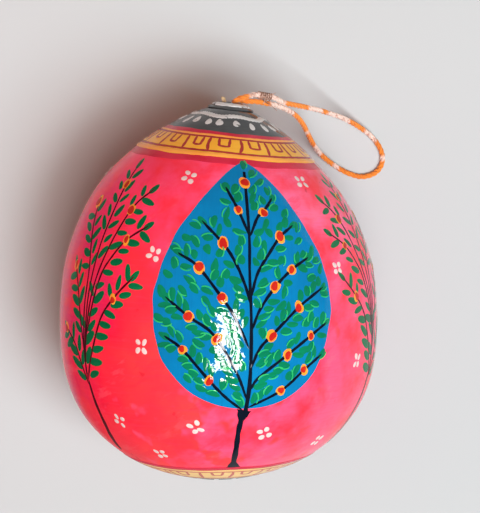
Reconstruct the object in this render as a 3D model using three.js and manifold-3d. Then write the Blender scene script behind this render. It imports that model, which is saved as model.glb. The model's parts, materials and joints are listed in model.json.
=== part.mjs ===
// Painted coconut lying on its back: a dried nut with a husk tip, a chalk ground, zones of paint and a cord.
// Millimetres, +Z up. The nut is turned standing on its base, grown into a natural shape, then laid down.
import * as THREE from 'three';
import { mergeVertices } from 'three/addons/utils/BufferGeometryUtils.js';
import Module from 'manifold-3d';

const wasm = await Module();
wasm.setup();

// Driving dimensions of the nut, standing on its base
const BELLY_RADIUS = 63.8;
const BELLY_HEIGHT = 60;
const NUT_HEIGHT = 149;
const BASE_POWER = 2.25;
const CROWN_POWER = 2.4;
const CROWN_TAPER = 0.735;
const BASE_FLAT_RADIUS = 14;
const RIDGE = 0.03;
const TIP_LEAN = THREE.MathUtils.degToRad(6.5);

// Layers, from the paint inwards
const COAT = 0.8;
const GROUND = 1.2;
const SHELL_WALL = 4;
const KERNEL_WALL = 9;
const GAP = 0.3;
const KERNEL_CLEARANCE = 3;
const HUSK_RISE = 25;

// Zones of paint: heights stacked up from the base, and down from the tip
const BASE_DISC_RISE = 3;
const LOWER_BAND_RISE = 5.2;
const LOWER_LINE_RISE = 1.4;
const CAP_DROP = 11.2;
const CAP_LINE_DROP = 1.4;
const UPPER_BAND_DROP = 7.4;
const UPPER_LINE_DROP = 2.2;

// Leaf panel on the front
const LEAF_LOW = 35.6;
const LEAF_CLEARANCE = 0.8;
const LEAF_CENTRE = THREE.MathUtils.degToRad(10.5);
const LEAF_SPREAD = THREE.MathUtils.degToRad(64);
const LEAF_HEEL = 0.42;
const LEAF_TIP = 0.55;
const LEAF_STEPS = 14;

// Brush lines of the tree and of the sprays beside it, with the height at which a leaf starts on a spray
const BRANCH_WIDTH = 1.5;
const TREE_STEM_WIDTH = 2;
const TRUNK_WIDTH = 2.4;
const TRUNK_FLARE = 6;
const SPRAY_STEM_WIDTH = 2.8;
const SPRAY_OFFSET = THREE.MathUtils.degToRad(67.5);
const SPRAY_LEAF_LENGTH = 7;
const SPRAY_LEAF_WIDTH = 3.4;
const SPRAY_LEAF_SPLAY = THREE.MathUtils.degToRad(35);
const THROUGH = 0.08;

// Husk tip, collar, and the hole for the cord
const HUSK_HEIGHT = 55;
const NECK_RADIUS = 8.6;
const SPIGOT_RADIUS = 5.5;
const COLLAR_RADIUS = 9.3;
const COLLAR_SHOULDER = 1.2;
const COLLAR_LIP = 6.4;
const BORE_RADIUS = 3.4;
const BORE_DEPTH = 15;
const PEG_WIDTH = 3.2;
const PEG_THICKNESS = 1.6;
const PEG_PROUD = 1.6;

// Eyes of the shell
const EYE_CIRCLE = 15;
const EYE_RADIUS = 4.5;
const EYE_DIMPLE = 1.5;
const EYE_SIDES = 12;
const EYES = 3;

// Cord, knot and the two ends of its binding thread
const CORD_RADIUS = 1.15;
const CORD_SPACING = 2.7;
const CORD_OFFSET = 0.9;
const CORD_SIDES = 8;
const CORD_STEP = 5.5;
const STEM_PROUD = 2.1;
const KNOT_LENGTH = 6.4;
const KNOT_RADIUS = 2.6;
const KNOT_WAIST = 0.4;
const KNOT_SIDES = 12;
const THREAD_RADIUS = 0.4;
const THREAD_STEP = 1.5;

// Fineness of the turned surfaces, and the distance within which corners become one
const SEGMENTS = 28;
const RING_STEP = THREE.MathUtils.degToRad(12);
const WELD = 1e-4;

const EDGE = GAP / 2;
const GROUND_DEPTH = COAT + GAP;
const CORE_DEPTH = GROUND_DEPTH + GROUND + GAP;
const CAVITY_DEPTH = CORE_DEPTH + SHELL_WALL;
const KERNEL_DEPTH = CAVITY_DEPTH + KERNEL_CLEARANCE;
const BACK = Math.PI;

const LOWER_BAND_TOP = BASE_DISC_RISE + LOWER_BAND_RISE;
const LOWER_LINE_TOP = LOWER_BAND_TOP + LOWER_LINE_RISE;
const CAP_LINE_TOP = NUT_HEIGHT - CAP_DROP;
const UPPER_BAND_TOP = CAP_LINE_TOP - CAP_LINE_DROP;
const UPPER_LINE_TOP = UPPER_BAND_TOP - UPPER_BAND_DROP;
const BODY_TOP = UPPER_LINE_TOP - UPPER_LINE_DROP;
const LEAF_HIGH = BODY_TOP - LEAF_CLEARANCE;
const TUFT_LOW = NUT_HEIGHT - HUSK_HEIGHT;
const SHELL_CROWN = NUT_HEIGHT - BELLY_HEIGHT - HUSK_RISE;

// A form is the curve of a meridian above the belly. Below it, nut and shell share one curve.
const nutForm = { crown: NUT_HEIGHT - BELLY_HEIGHT, power: CROWN_POWER, taper: CROWN_TAPER };
const shellForm = { crown: SHELL_CROWN, power: BASE_POWER, taper: 1 / BASE_POWER };

function meridian(form, latitude) {
  const width = Math.cos(latitude);
  const reach = Math.abs(Math.sin(latitude));
  if (latitude < 0) {
    const height = BELLY_HEIGHT * (1 - reach ** (2 / BASE_POWER));
    return new THREE.Vector2(BELLY_RADIUS * width ** (2 / BASE_POWER), height);
  }
  const height = BELLY_HEIGHT + form.crown * reach ** (2 / form.power);
  return new THREE.Vector2(BELLY_RADIUS * width ** (2 * form.taper), height);
}

function latitudeAt(form, height) {
  if (height < BELLY_HEIGHT) {
    return -Math.asin((1 - height / BELLY_HEIGHT) ** (BASE_POWER / 2));
  }
  return Math.asin(((height - BELLY_HEIGHT) / form.crown) ** (form.power / 2));
}

// A ring of the meridian, moved inwards along its normal
function ringPoint(form, ring, depth) {
  const latitude = ring * RING_STEP;
  const nearby = 1e-4;
  const point = meridian(form, latitude);
  const along = meridian(form, latitude + nearby).sub(meridian(form, latitude - nearby)).normalize();
  return new THREE.Vector2(point.x - depth * along.y, point.y + depth * along.x);
}

// Between two rings every layer follows the same straight chord, so that layers never cut each other
function chordPoint(form, latitude, depth) {
  const ring = Math.floor(latitude / RING_STEP);
  const share = latitude / RING_STEP - ring;
  return ringPoint(form, ring, depth).lerp(ringPoint(form, ring + 1, depth), share);
}

const FLAT_LATITUDE = -Math.acos((BASE_FLAT_RADIUS / BELLY_RADIUS) ** (BASE_POWER / 2));
const FLAT_HEIGHT = chordPoint(nutForm, FLAT_LATITUDE, 0).y;
const NECK_LATITUDE = Math.acos((NECK_RADIUS / BELLY_RADIUS) ** (0.5 / CROWN_TAPER));
const NECK_HEIGHT = chordPoint(nutForm, NECK_LATITUDE, 0).y;
const POLE_LATITUDE = Math.PI / 2 - RING_STEP;
const SHELL_TOP = BELLY_HEIGHT + SHELL_CROWN - CORE_DEPTH;

// A point of a layer, never below the flat base of that layer
function skin(form, latitude, depth) {
  const point = chordPoint(form, latitude, depth);
  point.y = Math.max(point.y, FLAT_HEIGHT + depth);
  return point;
}

function skinLine(form, low, high, depth) {
  const margin = RING_STEP / 50;
  const line = [skin(form, low, depth)];
  for (let ring = Math.ceil((low + margin) / RING_STEP); ring * RING_STEP < high - margin; ring += 1) {
    line.push(skin(form, ring * RING_STEP, depth));
  }
  line.push(skin(form, high, depth));
  return line;
}

const onAxis = (height) => new THREE.Vector2(0, height);

// Turning, with a facet centred on the front and on the back, so that the nut lies on a facet
function turned(profile) {
  const geometry = new THREE.LatheGeometry(profile, SEGMENTS, -Math.PI / SEGMENTS, 2 * Math.PI);
  return geometry.rotateX(Math.PI / 2);
}

function turnedRing(outer, inner) {
  return turned([...outer, ...inner.reverse(), outer[0].clone()]);
}

function welded(geometry) {
  const bare = geometry.clone();
  bare.deleteAttribute('normal');
  bare.deleteAttribute('uv');
  const merged = mergeVertices(bare, WELD);
  const corners = merged.index.array;
  const kept = [];
  for (let i = 0; i < corners.length; i += 3) {
    const [a, b, c] = corners.slice(i, i + 3);
    if (a !== b && b !== c && c !== a) kept.push(a, b, c);
  }
  merged.setIndex(kept);
  return merged;
}

function solidOf(geometry) {
  const merged = welded(geometry);
  const mesh = new wasm.Mesh({
    numProp: 3,
    vertProperties: new Float32Array(merged.attributes.position.array),
    triVerts: new Uint32Array(merged.index.array),
  });
  return new wasm.Manifold(mesh);
}

function geometryOf(solid) {
  const mesh = solid.getMesh();
  const geometry = new THREE.BufferGeometry();
  geometry.setAttribute('position', new THREE.BufferAttribute(mesh.vertProperties, 3));
  geometry.setIndex(new THREE.BufferAttribute(mesh.triVerts, 1));
  return geometry;
}

// The natural shape: three soft ridges round the nut, and a crown that leans towards the tip
function natural(point) {
  const swell = 1 + RIDGE * Math.cos(3 * Math.atan2(point.x, -point.y));
  const rise = THREE.MathUtils.clamp((point.z - BELLY_HEIGHT) / nutForm.crown, 0, 1);
  const lean = TIP_LEAN * rise ** 2 * (3 - 2 * rise);
  const drift = TIP_LEAN * nutForm.crown * (rise ** 3 - rise ** 4 / 2);
  const across = point.x * swell;
  return new THREE.Vector3(
    drift + across * Math.cos(lean),
    point.y * swell,
    point.z - across * Math.sin(lean),
  );
}

function grown(geometry) {
  const shaped = welded(geometry);
  const position = shaped.attributes.position;
  const point = new THREE.Vector3();
  for (let i = 0; i < position.count; i += 1) {
    const moved = natural(point.fromBufferAttribute(position, i));
    position.setXYZ(i, moved.x, moved.y, moved.z);
  }
  shaped.computeVertexNormals();
  return shaped;
}

const coconut = new THREE.Group();
const nut = new THREE.Group();
const hanger = new THREE.Group();
coconut.add(nut, hanger);

function piece(group, name, geometry, color, roughness) {
  const material = new THREE.MeshStandardMaterial({ color, roughness, metalness: 0 });
  const mesh = new THREE.Mesh(geometry, material);
  mesh.name = name;
  group.add(mesh);
  return mesh;
}

// Paint: one coat, parted into zones at the heights above
function coatZone(low, high) {
  const from = latitudeAt(nutForm, low + EDGE);
  const to = Math.min(latitudeAt(nutForm, high - EDGE), NECK_LATITUDE);
  return turnedRing(skinLine(nutForm, from, to, 0), skinLine(nutForm, from, to, COAT));
}

function baseDisc() {
  const top = latitudeAt(nutForm, BASE_DISC_RISE - EDGE);
  const outer = skinLine(nutForm, FLAT_LATITUDE, top, 0);
  const inner = skinLine(nutForm, FLAT_LATITUDE, top, COAT);
  return turned([onAxis(FLAT_HEIGHT), ...outer, ...inner.reverse(), onAxis(FLAT_HEIGHT + COAT)]);
}

// Leaf panel: an upright outline pushed through the front of the body's coat
function leafPrism(inset) {
  const left = [];
  const right = [];
  for (let i = 0; i <= LEAF_STEPS; i += 1) {
    const share = (1 - Math.cos((Math.PI * i) / LEAF_STEPS)) / 2;
    const height = THREE.MathUtils.lerp(LEAF_LOW + inset, LEAF_HIGH - inset, share);
    const halfAngle = LEAF_SPREAD * share ** LEAF_HEEL * (1 - share) ** LEAF_TIP;
    const radius = meridian(nutForm, latitudeAt(nutForm, height)).x;
    const halfWidth = Math.max(radius * Math.sin(halfAngle) - inset, 0);
    right.push(new THREE.Vector2(halfWidth, height));
    left.push(new THREE.Vector2(-halfWidth, height));
  }
  const outline = [...right, ...left.slice(1, -1).reverse()];
  const depth = BELLY_RADIUS * (1 + RIDGE);
  const prism = new THREE.ExtrudeGeometry(new THREE.Shape(outline), { depth, bevelEnabled: false });
  return prism.rotateX(Math.PI / 2).rotateZ(LEAF_CENTRE);
}

// Tree and sprays: points are degrees round the nut and heights, drawn between the two heights below.
// The drawing follows the body's coat when that is made taller or lower.
const DRAWN_LOW = 9.6;
const DRAWN_HIGH = 126.8;
const TRUNK = [[8.6, 9.8], [8, 12.5], [8, 25.5], [8.7, 31], [9.6, 35.2]];
const TREE_STEM = [[10, 34], [11, 46], [11.3, 68], [11, 87], [11.3, 101], [10.6, 120]];
const TREE_BRANCHES = [
  [[11.6, 101], [6, 112.5], [1.5, 118.5]],
  [[11, 76], [6, 91.5], [-7, 106]],
  [[10.5, 59], [3, 76], [-14.5, 94]],
  [[10.3, 39], [-1.3, 64.5], [-18, 78]],
  [[9, 35], [-2.7, 47], [-18, 63.5]],
  [[11.6, 101], [18, 110.5], [23, 115.5]],
  [[11.3, 78], [18, 94], [30.5, 105.5]],
  [[11.6, 66], [20, 82], [35, 93]],
  [[11.3, 51.5], [18.3, 63.5], [40, 81]],
  [[11.2, 43], [24.3, 56], [41, 67]],
  [[10.6, 36], [22.3, 42], [39, 55]],
];
const SPRAY_STEM = [[-6, 13.5], [-1.5, 20], [1, 26], [0.5, 43], [1, 62]];
const SPRAY_BRANCHES = [
  [[0.5, 41], [-7, 56.5], [-16, 62.5]],
  [[0.5, 50], [-5, 75.5], [-12, 86.5]],
  [[1, 60], [0, 87], [-11.5, 108.5]],
  [[1, 60], [4, 89.5], [6, 124]],
  [[1, 60], [9.5, 91.5], [21, 115.5]],
  [[3, 68], [13, 90], [25.5, 102]],
  [[0.5, 43], [11.5, 68.5], [25, 84.5]],
];
const SPRAY_LEAF_SHARES = [0.84];

const radiusAt = (height) => meridian(nutForm, latitudeAt(nutForm, height)).x;

// A line of the drawing on a flat plan: millimetres round the nut on one side of a foot, and heights
function planLine(points, foot, way) {
  const stretch = (BODY_TOP - LOWER_LINE_TOP) / (DRAWN_HIGH - DRAWN_LOW);
  return new THREE.SplineCurve(points.map(([degrees, drawn]) => {
    const height = LOWER_LINE_TOP + (drawn - DRAWN_LOW) * stretch;
    const angle = foot + way * THREE.MathUtils.degToRad(degrees);
    return new THREE.Vector2(angle * radiusAt(height), height);
  }));
}

function planShape(corners) {
  return new wasm.CrossSection([corners.map((corner) => corner.toArray())], 'NonZero');
}

function brushed(line, widths) {
  const last = line.points.length - 1;
  const left = [];
  const right = [];
  for (let i = 0; i <= last; i += 1) {
    const ahead = line.getTangent(i / last);
    const aside = new THREE.Vector2(-ahead.y, ahead.x).multiplyScalar(widths(i, last) / 2);
    left.push(line.points[i].clone().add(aside));
    right.push(line.points[i].clone().sub(aside));
  }
  return planShape([...right, ...left.reverse()]);
}

function sprayLeaf(line, share, side) {
  const base = line.getPoint(share);
  const ahead = line.getTangent(share).rotateAround(new THREE.Vector2(), side * SPRAY_LEAF_SPLAY);
  const aside = new THREE.Vector2(-ahead.y, ahead.x).multiplyScalar(SPRAY_LEAF_WIDTH / 2);
  const middle = base.clone().addScaledVector(ahead, SPRAY_LEAF_LENGTH / 2);
  const tip = base.clone().addScaledVector(ahead, SPRAY_LEAF_LENGTH);
  return planShape([base, middle.clone().sub(aside), tip, middle.clone().add(aside)]);
}

function treePlan() {
  const flared = (i, last) => (i === 0 || i === last ? TRUNK_FLARE : TRUNK_WIDTH);
  const shapes = [
    brushed(planLine(TRUNK, -LEAF_CENTRE, 1), flared),
    brushed(planLine(TREE_STEM, -LEAF_CENTRE, 1), () => TREE_STEM_WIDTH),
  ];
  for (const points of TREE_BRANCHES) {
    shapes.push(brushed(planLine(points, -LEAF_CENTRE, 1), () => BRANCH_WIDTH));
  }
  return wasm.CrossSection.union(shapes);
}

function sprayPlan(way) {
  const shapes = [brushed(planLine(SPRAY_STEM, 0, way), (i) => (i < 2 ? SPRAY_STEM_WIDTH : TREE_STEM_WIDTH))];
  for (const points of SPRAY_BRANCHES) {
    const line = planLine(points, 0, way);
    shapes.push(brushed(line, () => BRANCH_WIDTH));
    for (const share of SPRAY_LEAF_SHARES) {
      shapes.push(sprayLeaf(line, share, -1), sprayLeaf(line, share, 1));
    }
  }
  return wasm.CrossSection.union(shapes);
}

// The plan as a wall that stands through the coat, wrapped round the nut about an angle from the front
function wrapped(plan, centre, grow) {
  return wasm.Manifold.extrude(plan.offset(grow, 'Miter'), 1).warp((corner) => {
    const radius = radiusAt(corner[1]);
    const angle = centre + corner[0] / radius;
    const reach = radius * (corner[2] > 0.5 ? 1 + THROUGH : 1 - THROUGH);
    corner[2] = corner[1];
    corner[0] = reach * Math.sin(angle);
    corner[1] = -reach * Math.cos(angle);
  });
}

// Scraps that a figure cuts off are left out
function mainBody(solid) {
  return solid.decompose().reduce((most, part) => (part.volume() > most.volume() ? part : most));
}

const bodyCoat = solidOf(coatZone(LOWER_LINE_TOP, BODY_TOP));
let leafPanel = bodyCoat.intersect(solidOf(leafPrism(EDGE)));
let bodyAround = bodyCoat.subtract(solidOf(leafPrism(-EDGE)));
const figures = [
  ['tree_wood', treePlan(), LEAF_CENTRE, 0x0c1826],
  ['left_spray', sprayPlan(1), LEAF_CENTRE - SPRAY_OFFSET, 0x0f5c3c],
  ['right_spray', sprayPlan(-1), LEAF_CENTRE + SPRAY_OFFSET, 0x0f5c3c],
];
for (const [name, plan, centre, color] of figures) {
  const opening = wrapped(plan, centre, EDGE);
  leafPanel = leafPanel.subtract(opening);
  bodyAround = bodyAround.subtract(opening);
  const figure = bodyCoat.intersect(wrapped(plan, centre, -EDGE));
  piece(nut, name, grown(geometryOf(mainBody(figure))), color, 0.25);
}

piece(nut, 'base_coat', grown(baseDisc()), 0x53585c, 0.35);
piece(nut, 'lower_band', grown(coatZone(BASE_DISC_RISE, LOWER_BAND_TOP)), 0xf0a532, 0.3);
piece(nut, 'lower_line', grown(coatZone(LOWER_BAND_TOP, LOWER_LINE_TOP)), 0xcd283c, 0.3);
piece(nut, 'body_coat', grown(geometryOf(mainBody(bodyAround))), 0xff4656, 0.25);
piece(nut, 'leaf_panel', grown(geometryOf(mainBody(leafPanel))), 0x0080cb, 0.25);
piece(nut, 'upper_line', grown(coatZone(BODY_TOP, UPPER_LINE_TOP)), 0xcd283c, 0.3);
piece(nut, 'upper_band', grown(coatZone(UPPER_LINE_TOP, UPPER_BAND_TOP)), 0xf0a532, 0.3);
piece(nut, 'cap_line', grown(coatZone(UPPER_BAND_TOP, CAP_LINE_TOP)), 0xd8405c, 0.3);
piece(nut, 'cap_coat', grown(coatZone(CAP_LINE_TOP, NUT_HEIGHT)), 0x53585c, 0.35);

function chalkGround() {
  const outer = skinLine(nutForm, FLAT_LATITUDE, NECK_LATITUDE, GROUND_DEPTH);
  const inner = skinLine(nutForm, FLAT_LATITUDE, NECK_LATITUDE, GROUND_DEPTH + GROUND);
  const low = FLAT_HEIGHT + GROUND_DEPTH;
  return turned([onAxis(low), ...outer, ...inner.reverse(), onAxis(low + GROUND)]);
}

// Round bodies inside, between two depths of the shell's form, closed at both poles
function ball(depth) {
  const side = skinLine(shellForm, FLAT_LATITUDE, POLE_LATITUDE, depth);
  const top = BELLY_HEIGHT + SHELL_CROWN - depth;
  return solidOf(turned([onAxis(FLAT_HEIGHT + depth), ...side, onAxis(top)]));
}

// An upright rod standing on a circle round the axis, at an angle from the front
function rodOnCircle(radius, low, high, angle) {
  const rod = new THREE.CylinderGeometry(radius, radius, high - low, EYE_SIDES).rotateX(Math.PI / 2);
  const centre = (low + high) / 2;
  return rod.translate(EYE_CIRCLE * Math.sin(angle), -EYE_CIRCLE * Math.cos(angle), centre);
}

const EYE_LATITUDE = Math.acos(((EYE_CIRCLE + EYE_RADIUS) / BELLY_RADIUS) ** (BASE_POWER / 2));
const EYE_RIM = skin(shellForm, EYE_LATITUDE, CORE_DEPTH).y;

function coconutShell() {
  let shell = ball(CORE_DEPTH).subtract(ball(CAVITY_DEPTH));
  for (let eye = 0; eye < EYES; eye += 1) {
    const low = eye === 0 ? BELLY_HEIGHT : EYE_RIM - EYE_DIMPLE;
    const angle = BACK + (2 * Math.PI * eye) / EYES;
    shell = shell.subtract(solidOf(rodOnCircle(EYE_RADIUS, low, SHELL_TOP + GAP, angle)));
  }
  return geometryOf(shell);
}

function driedKernel() {
  const hollow = ball(KERNEL_DEPTH).subtract(ball(KERNEL_DEPTH + KERNEL_WALL));
  const pierced = solidOf(rodOnCircle(EYE_RADIUS, BELLY_HEIGHT, SHELL_TOP, BACK));
  return geometryOf(hollow.subtract(pierced));
}

const PLUG_TOP = EYE_RIM - EYE_DIMPLE;
const eyePlug = rodOnCircle(EYE_RADIUS - GAP, PLUG_TOP - SHELL_WALL, PLUG_TOP, BACK);

// Husk fibre on the eye end: it sits on the shell, fills the crown and ends in a drilled spigot
function huskTuft() {
  const low = latitudeAt(shellForm, TUFT_LOW);
  const under = skinLine(shellForm, low, POLE_LATITUDE, CORE_DEPTH - GAP).reverse();
  const outer = skinLine(nutForm, latitudeAt(nutForm, TUFT_LOW), NECK_LATITUDE, CORE_DEPTH);
  const neck = outer[outer.length - 1];
  return turned([
    onAxis(SHELL_TOP + GAP),
    ...under,
    ...outer,
    new THREE.Vector2(SPIGOT_RADIUS, neck.y + neck.x - SPIGOT_RADIUS),
    new THREE.Vector2(SPIGOT_RADIUS, NUT_HEIGHT),
    new THREE.Vector2(BORE_RADIUS, NUT_HEIGHT),
    new THREE.Vector2(BORE_RADIUS, NUT_HEIGHT - BORE_DEPTH),
    onAxis(NUT_HEIGHT - BORE_DEPTH),
  ]);
}

function neckCollar() {
  const foot = NECK_HEIGHT + GAP;
  const bore = SPIGOT_RADIUS + GAP;
  const profile = [
    [bore, foot],
    [COLLAR_RADIUS, foot],
    [COLLAR_RADIUS, foot + COLLAR_SHOULDER],
    [COLLAR_LIP, NUT_HEIGHT],
    [bore, NUT_HEIGHT],
    [bore, foot],
  ];
  return turned(profile.map(([radius, height]) => new THREE.Vector2(radius, height)));
}

const BORE_FLOOR = NUT_HEIGHT - BORE_DEPTH + GAP;

function cordPeg() {
  const length = NUT_HEIGHT + PEG_PROUD - BORE_FLOOR;
  const across = CORD_OFFSET - CORD_RADIUS - GAP - PEG_THICKNESS / 2;
  const peg = new THREE.BoxGeometry(PEG_THICKNESS, PEG_WIDTH, length);
  return peg.translate(across, 0, BORE_FLOOR + length / 2);
}

function cordStem(side) {
  const length = NUT_HEIGHT + STEM_PROUD - BORE_FLOOR;
  const rod = new THREE.CylinderGeometry(CORD_RADIUS, CORD_RADIUS, length, CORD_SIDES).rotateX(Math.PI / 2);
  return rod.translate(CORD_OFFSET, (side * CORD_SPACING) / 2, BORE_FLOOR + length / 2);
}

piece(nut, 'chalk_ground', grown(chalkGround()), 0xeeeae0, 0.9);
piece(nut, 'coconut_shell', grown(coconutShell()), 0x5b3d27, 0.7);
piece(nut, 'eye_plug', grown(eyePlug), 0xb08a5a, 0.8);
piece(nut, 'husk_tuft', grown(huskTuft()), 0x8a6a45, 0.95);
piece(nut, 'neck_collar', grown(neckCollar()), 0xe4e4de, 0.4);
piece(nut, 'cord_peg', grown(cordPeg()), 0xd9c7a0, 0.7);
piece(nut, 'cord_stem_front', grown(cordStem(-1)), 0xe1801c, 0.85);
piece(nut, 'cord_stem_back', grown(cordStem(1)), 0xe1801c, 0.85);

// The kernel has shrunk off the shell and lies against its back
const kernel = piece(nut, 'kernel', grown(driedKernel()), 0xd8c9a4, 0.8);
kernel.position.y = KERNEL_CLEARANCE * (1 - RIDGE) - GAP;

// Laying the nut down: it rests on the back facet above the belly, with the origin under its middle
const facetLow = meridian(nutForm, 0);
const facetHigh = meridian(nutForm, RING_STEP);
const restPitch = Math.atan2((facetLow.x - facetHigh.x) * (1 - RIDGE), facetHigh.y - facetLow.y);
nut.rotation.x = -Math.PI / 2 - restPitch;
nut.updateMatrixWorld(true);
const extent = new THREE.Box3().setFromObject(nut, true);
nut.position.set(-(extent.min.x + extent.max.x) / 2, -(extent.min.y + extent.max.y) / 2, -extent.min.z);
nut.updateMatrixWorld(true);

// The hanging cord, placed from the middle of the hole's mouth: it leaves to the right, is bound into a knot,
// comes down to the surface that the nut lies on and makes one loop there
hanger.position.copy(nut.localToWorld(natural(new THREE.Vector3(0, 0, NUT_HEIGHT))));

const KNOT_START = new THREE.Vector3(10.3, 1.7, -3.9);
const KNOT_TOWARDS = new THREE.Vector3(0.88, -0.19, -0.43).normalize();
const FRONT_LEG = [[2.5, 1.7, 1.2], [5.5, 2.6, 0.2], [8, 3, -1.9], [10.3, 3.1, -3.9]];
const BACK_LEG = [[2.5, 1.1, -1.5], [5.3, 0.8, -2.1], [7.8, 0.5, -2.8], [9.9, 0.4, -3.7]];
const LOOP = [
  [16.8, 1.7, -7.2], [20.8, -0.7, -10.9], [26.2, -2.5, -16.6], [31.2, -4.2, -23], [36.3, -6.1, -29.8],
  [40.6, -8, -35.8], [45, -10.1, -41.3], [49.4, -12.6, -46.3], [54.1, -15.8, -50.3], [58.5, -19.4, -52.3],
  [61.5, -23.2, -52.9], [63.2, -27, -52.9], [63.2, -30.8, -52.9], [61.3, -34.2, -52.9], [58, -36.1, -52.9],
  [53.8, -36.6, -52.9], [49.4, -35.3, -52.9], [45.1, -33.1, -52.4], [40.8, -29.9, -50.4],
  [37.1, -26.2, -46.6], [34.1, -21.8, -41.6], [31.6, -16.7, -35.6], [29.3, -11.7, -28.8],
  [26.5, -7.6, -22.3], [23, -4.6, -16.4], [19.8, -2.7, -11.4], [16.6, -1.2, -7],
];
const UPPER_TAIL = [[14.6, 2.6, -2.5], [16.2, 3.4, -2.6], [17.8, 3.8, -3.8]];
const LOWER_TAIL = [[15, -0.4, -2.6], [16.6, -1.6, -2.4], [18.2, -3.2, -3.6]];

function tube(route, radius, step) {
  const curve = new THREE.CatmullRomCurve3(route.map(([x, y, z]) => new THREE.Vector3(x, y, z)));
  const corners = [];
  for (let i = 0; i < CORD_SIDES; i += 1) {
    const angle = (2 * Math.PI * i) / CORD_SIDES;
    corners.push(new THREE.Vector2(radius * Math.cos(angle), radius * Math.sin(angle)));
  }
  const steps = Math.max(2, Math.round(curve.getLength() / step));
  return welded(new THREE.ExtrudeGeometry(new THREE.Shape(corners), { steps, extrudePath: curve }));
}

// The binding lies round both strands as a short barrel, whose ends face the strands across the usual gap
function knot() {
  const profile = [
    [0, GAP],
    [KNOT_RADIUS - KNOT_WAIST, GAP],
    [KNOT_RADIUS, KNOT_LENGTH / 3],
    [KNOT_RADIUS, (2 * KNOT_LENGTH) / 3],
    [KNOT_RADIUS - KNOT_WAIST, KNOT_LENGTH - GAP],
    [0, KNOT_LENGTH - GAP],
  ];
  const points = profile.map(([radius, height]) => new THREE.Vector2(radius, height));
  const barrel = welded(new THREE.LatheGeometry(points, KNOT_SIDES));
  const turn = new THREE.Quaternion().setFromUnitVectors(new THREE.Vector3(0, 1, 0), KNOT_TOWARDS);
  return barrel.applyQuaternion(turn).translate(...KNOT_START.toArray());
}

piece(hanger, 'cord_leg_front', tube(FRONT_LEG, CORD_RADIUS, CORD_STEP), 0xe1801c, 0.85);
piece(hanger, 'cord_leg_back', tube(BACK_LEG, CORD_RADIUS, CORD_STEP), 0xe1801c, 0.85);
piece(hanger, 'cord_knot', knot(), 0x7a4a34, 0.9);
piece(hanger, 'cord_loop', tube(LOOP, CORD_RADIUS, CORD_STEP), 0xe1801c, 0.85);
piece(hanger, 'knot_tail_upper', tube(UPPER_TAIL, THREAD_RADIUS, THREAD_STEP), 0x4a3028, 0.9);
piece(hanger, 'knot_tail_lower', tube(LOWER_TAIL, THREAD_RADIUS, THREAD_STEP), 0x4a3028, 0.9);

export default coconut;
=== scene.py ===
# %% [markdown]
# A painted coconut that lies on its back, with a loop of cord at its tip.
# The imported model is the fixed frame: it says where each solid is and how the cord and the kernel move.
# This lesson dresses that frame. The paint is modelled as it was laid on by hand: a ground colour all over,
# broad zones on top of it, and single brush strokes on top of those.

# %% Load the frame
import json
import math
import random

import bpy
import numpy as np
from mathutils import Matrix, Vector


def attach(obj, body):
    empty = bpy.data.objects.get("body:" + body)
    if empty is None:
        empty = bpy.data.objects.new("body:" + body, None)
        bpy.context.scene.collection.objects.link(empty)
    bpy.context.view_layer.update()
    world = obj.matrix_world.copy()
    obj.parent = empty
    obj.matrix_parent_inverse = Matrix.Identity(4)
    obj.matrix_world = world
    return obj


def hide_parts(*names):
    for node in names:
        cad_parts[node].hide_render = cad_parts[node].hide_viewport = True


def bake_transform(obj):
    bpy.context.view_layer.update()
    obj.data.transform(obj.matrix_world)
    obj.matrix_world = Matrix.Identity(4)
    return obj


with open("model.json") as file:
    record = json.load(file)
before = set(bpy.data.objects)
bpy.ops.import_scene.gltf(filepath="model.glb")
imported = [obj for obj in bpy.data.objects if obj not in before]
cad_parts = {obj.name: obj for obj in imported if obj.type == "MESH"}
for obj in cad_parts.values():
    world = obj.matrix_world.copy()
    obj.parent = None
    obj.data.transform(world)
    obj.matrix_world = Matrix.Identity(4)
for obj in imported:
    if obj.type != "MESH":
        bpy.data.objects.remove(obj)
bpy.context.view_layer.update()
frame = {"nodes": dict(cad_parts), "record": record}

MM = 0.001

# %% [markdown]
# Three helpers serve every piece. An operator acts on all that is selected, so the first one selects only
# what it is given, and the second adds a primitive under its own name.

# %% Helpers for every piece
def select_only(*pieces):
    bpy.ops.object.select_all(action="DESELECT")
    for piece in reversed(pieces):
        piece.select_set(True)
        bpy.context.view_layer.objects.active = piece


def added(operator, name, **settings):
    select_only()
    operator(**settings)
    piece = bpy.context.object
    piece.name = name
    piece.data.name = name
    return piece


def claim(piece, nodes=(), body="nut"):
    if nodes:
        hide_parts(*nodes)
    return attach(piece, body)


# %% [markdown]
# The frame holds the one flat spot of the nut, its base, as a mount. From that spot come three directions:
# along the nut to its tip, to the right, and out of the painted front. Everything is placed along these,
# so nothing has to be fitted by eye.

# %% Directions of the nut
BASE_FLAT_HEIGHT = 1.156
base_mount = next(m for m in frame["record"]["mounts"] if m["name"] == "base_face")
along_nut = -Vector(base_mount["axis"]).normalized()
to_right = Vector((1, 0, 0))
out_front = to_right.cross(along_nut)
nut_origin = Vector(base_mount["pos_m"]) - along_nut * BASE_FLAT_HEIGHT * MM
print("nut origin:", [round(v, 4) for v in nut_origin], "axis:", [round(v, 3) for v in along_nut])

# %% [markdown]
# The camera comes first, because every later size is judged through it. It looks at the front of the nut
# from a metre away, a few degrees towards the tip, through a long lens that keeps the nut round.
# A matrix of its three axes turns it exactly, where aiming it by angles would need trial and error.

# %% Camera
CAMERA_DISTANCE = 1.0
CAMERA_RISE = math.radians(5)
CAMERA_NEAREST = 0.05
AIM_HEIGHT = 88
AIM_RIGHT = 8.59
LENS = 175.7

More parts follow.
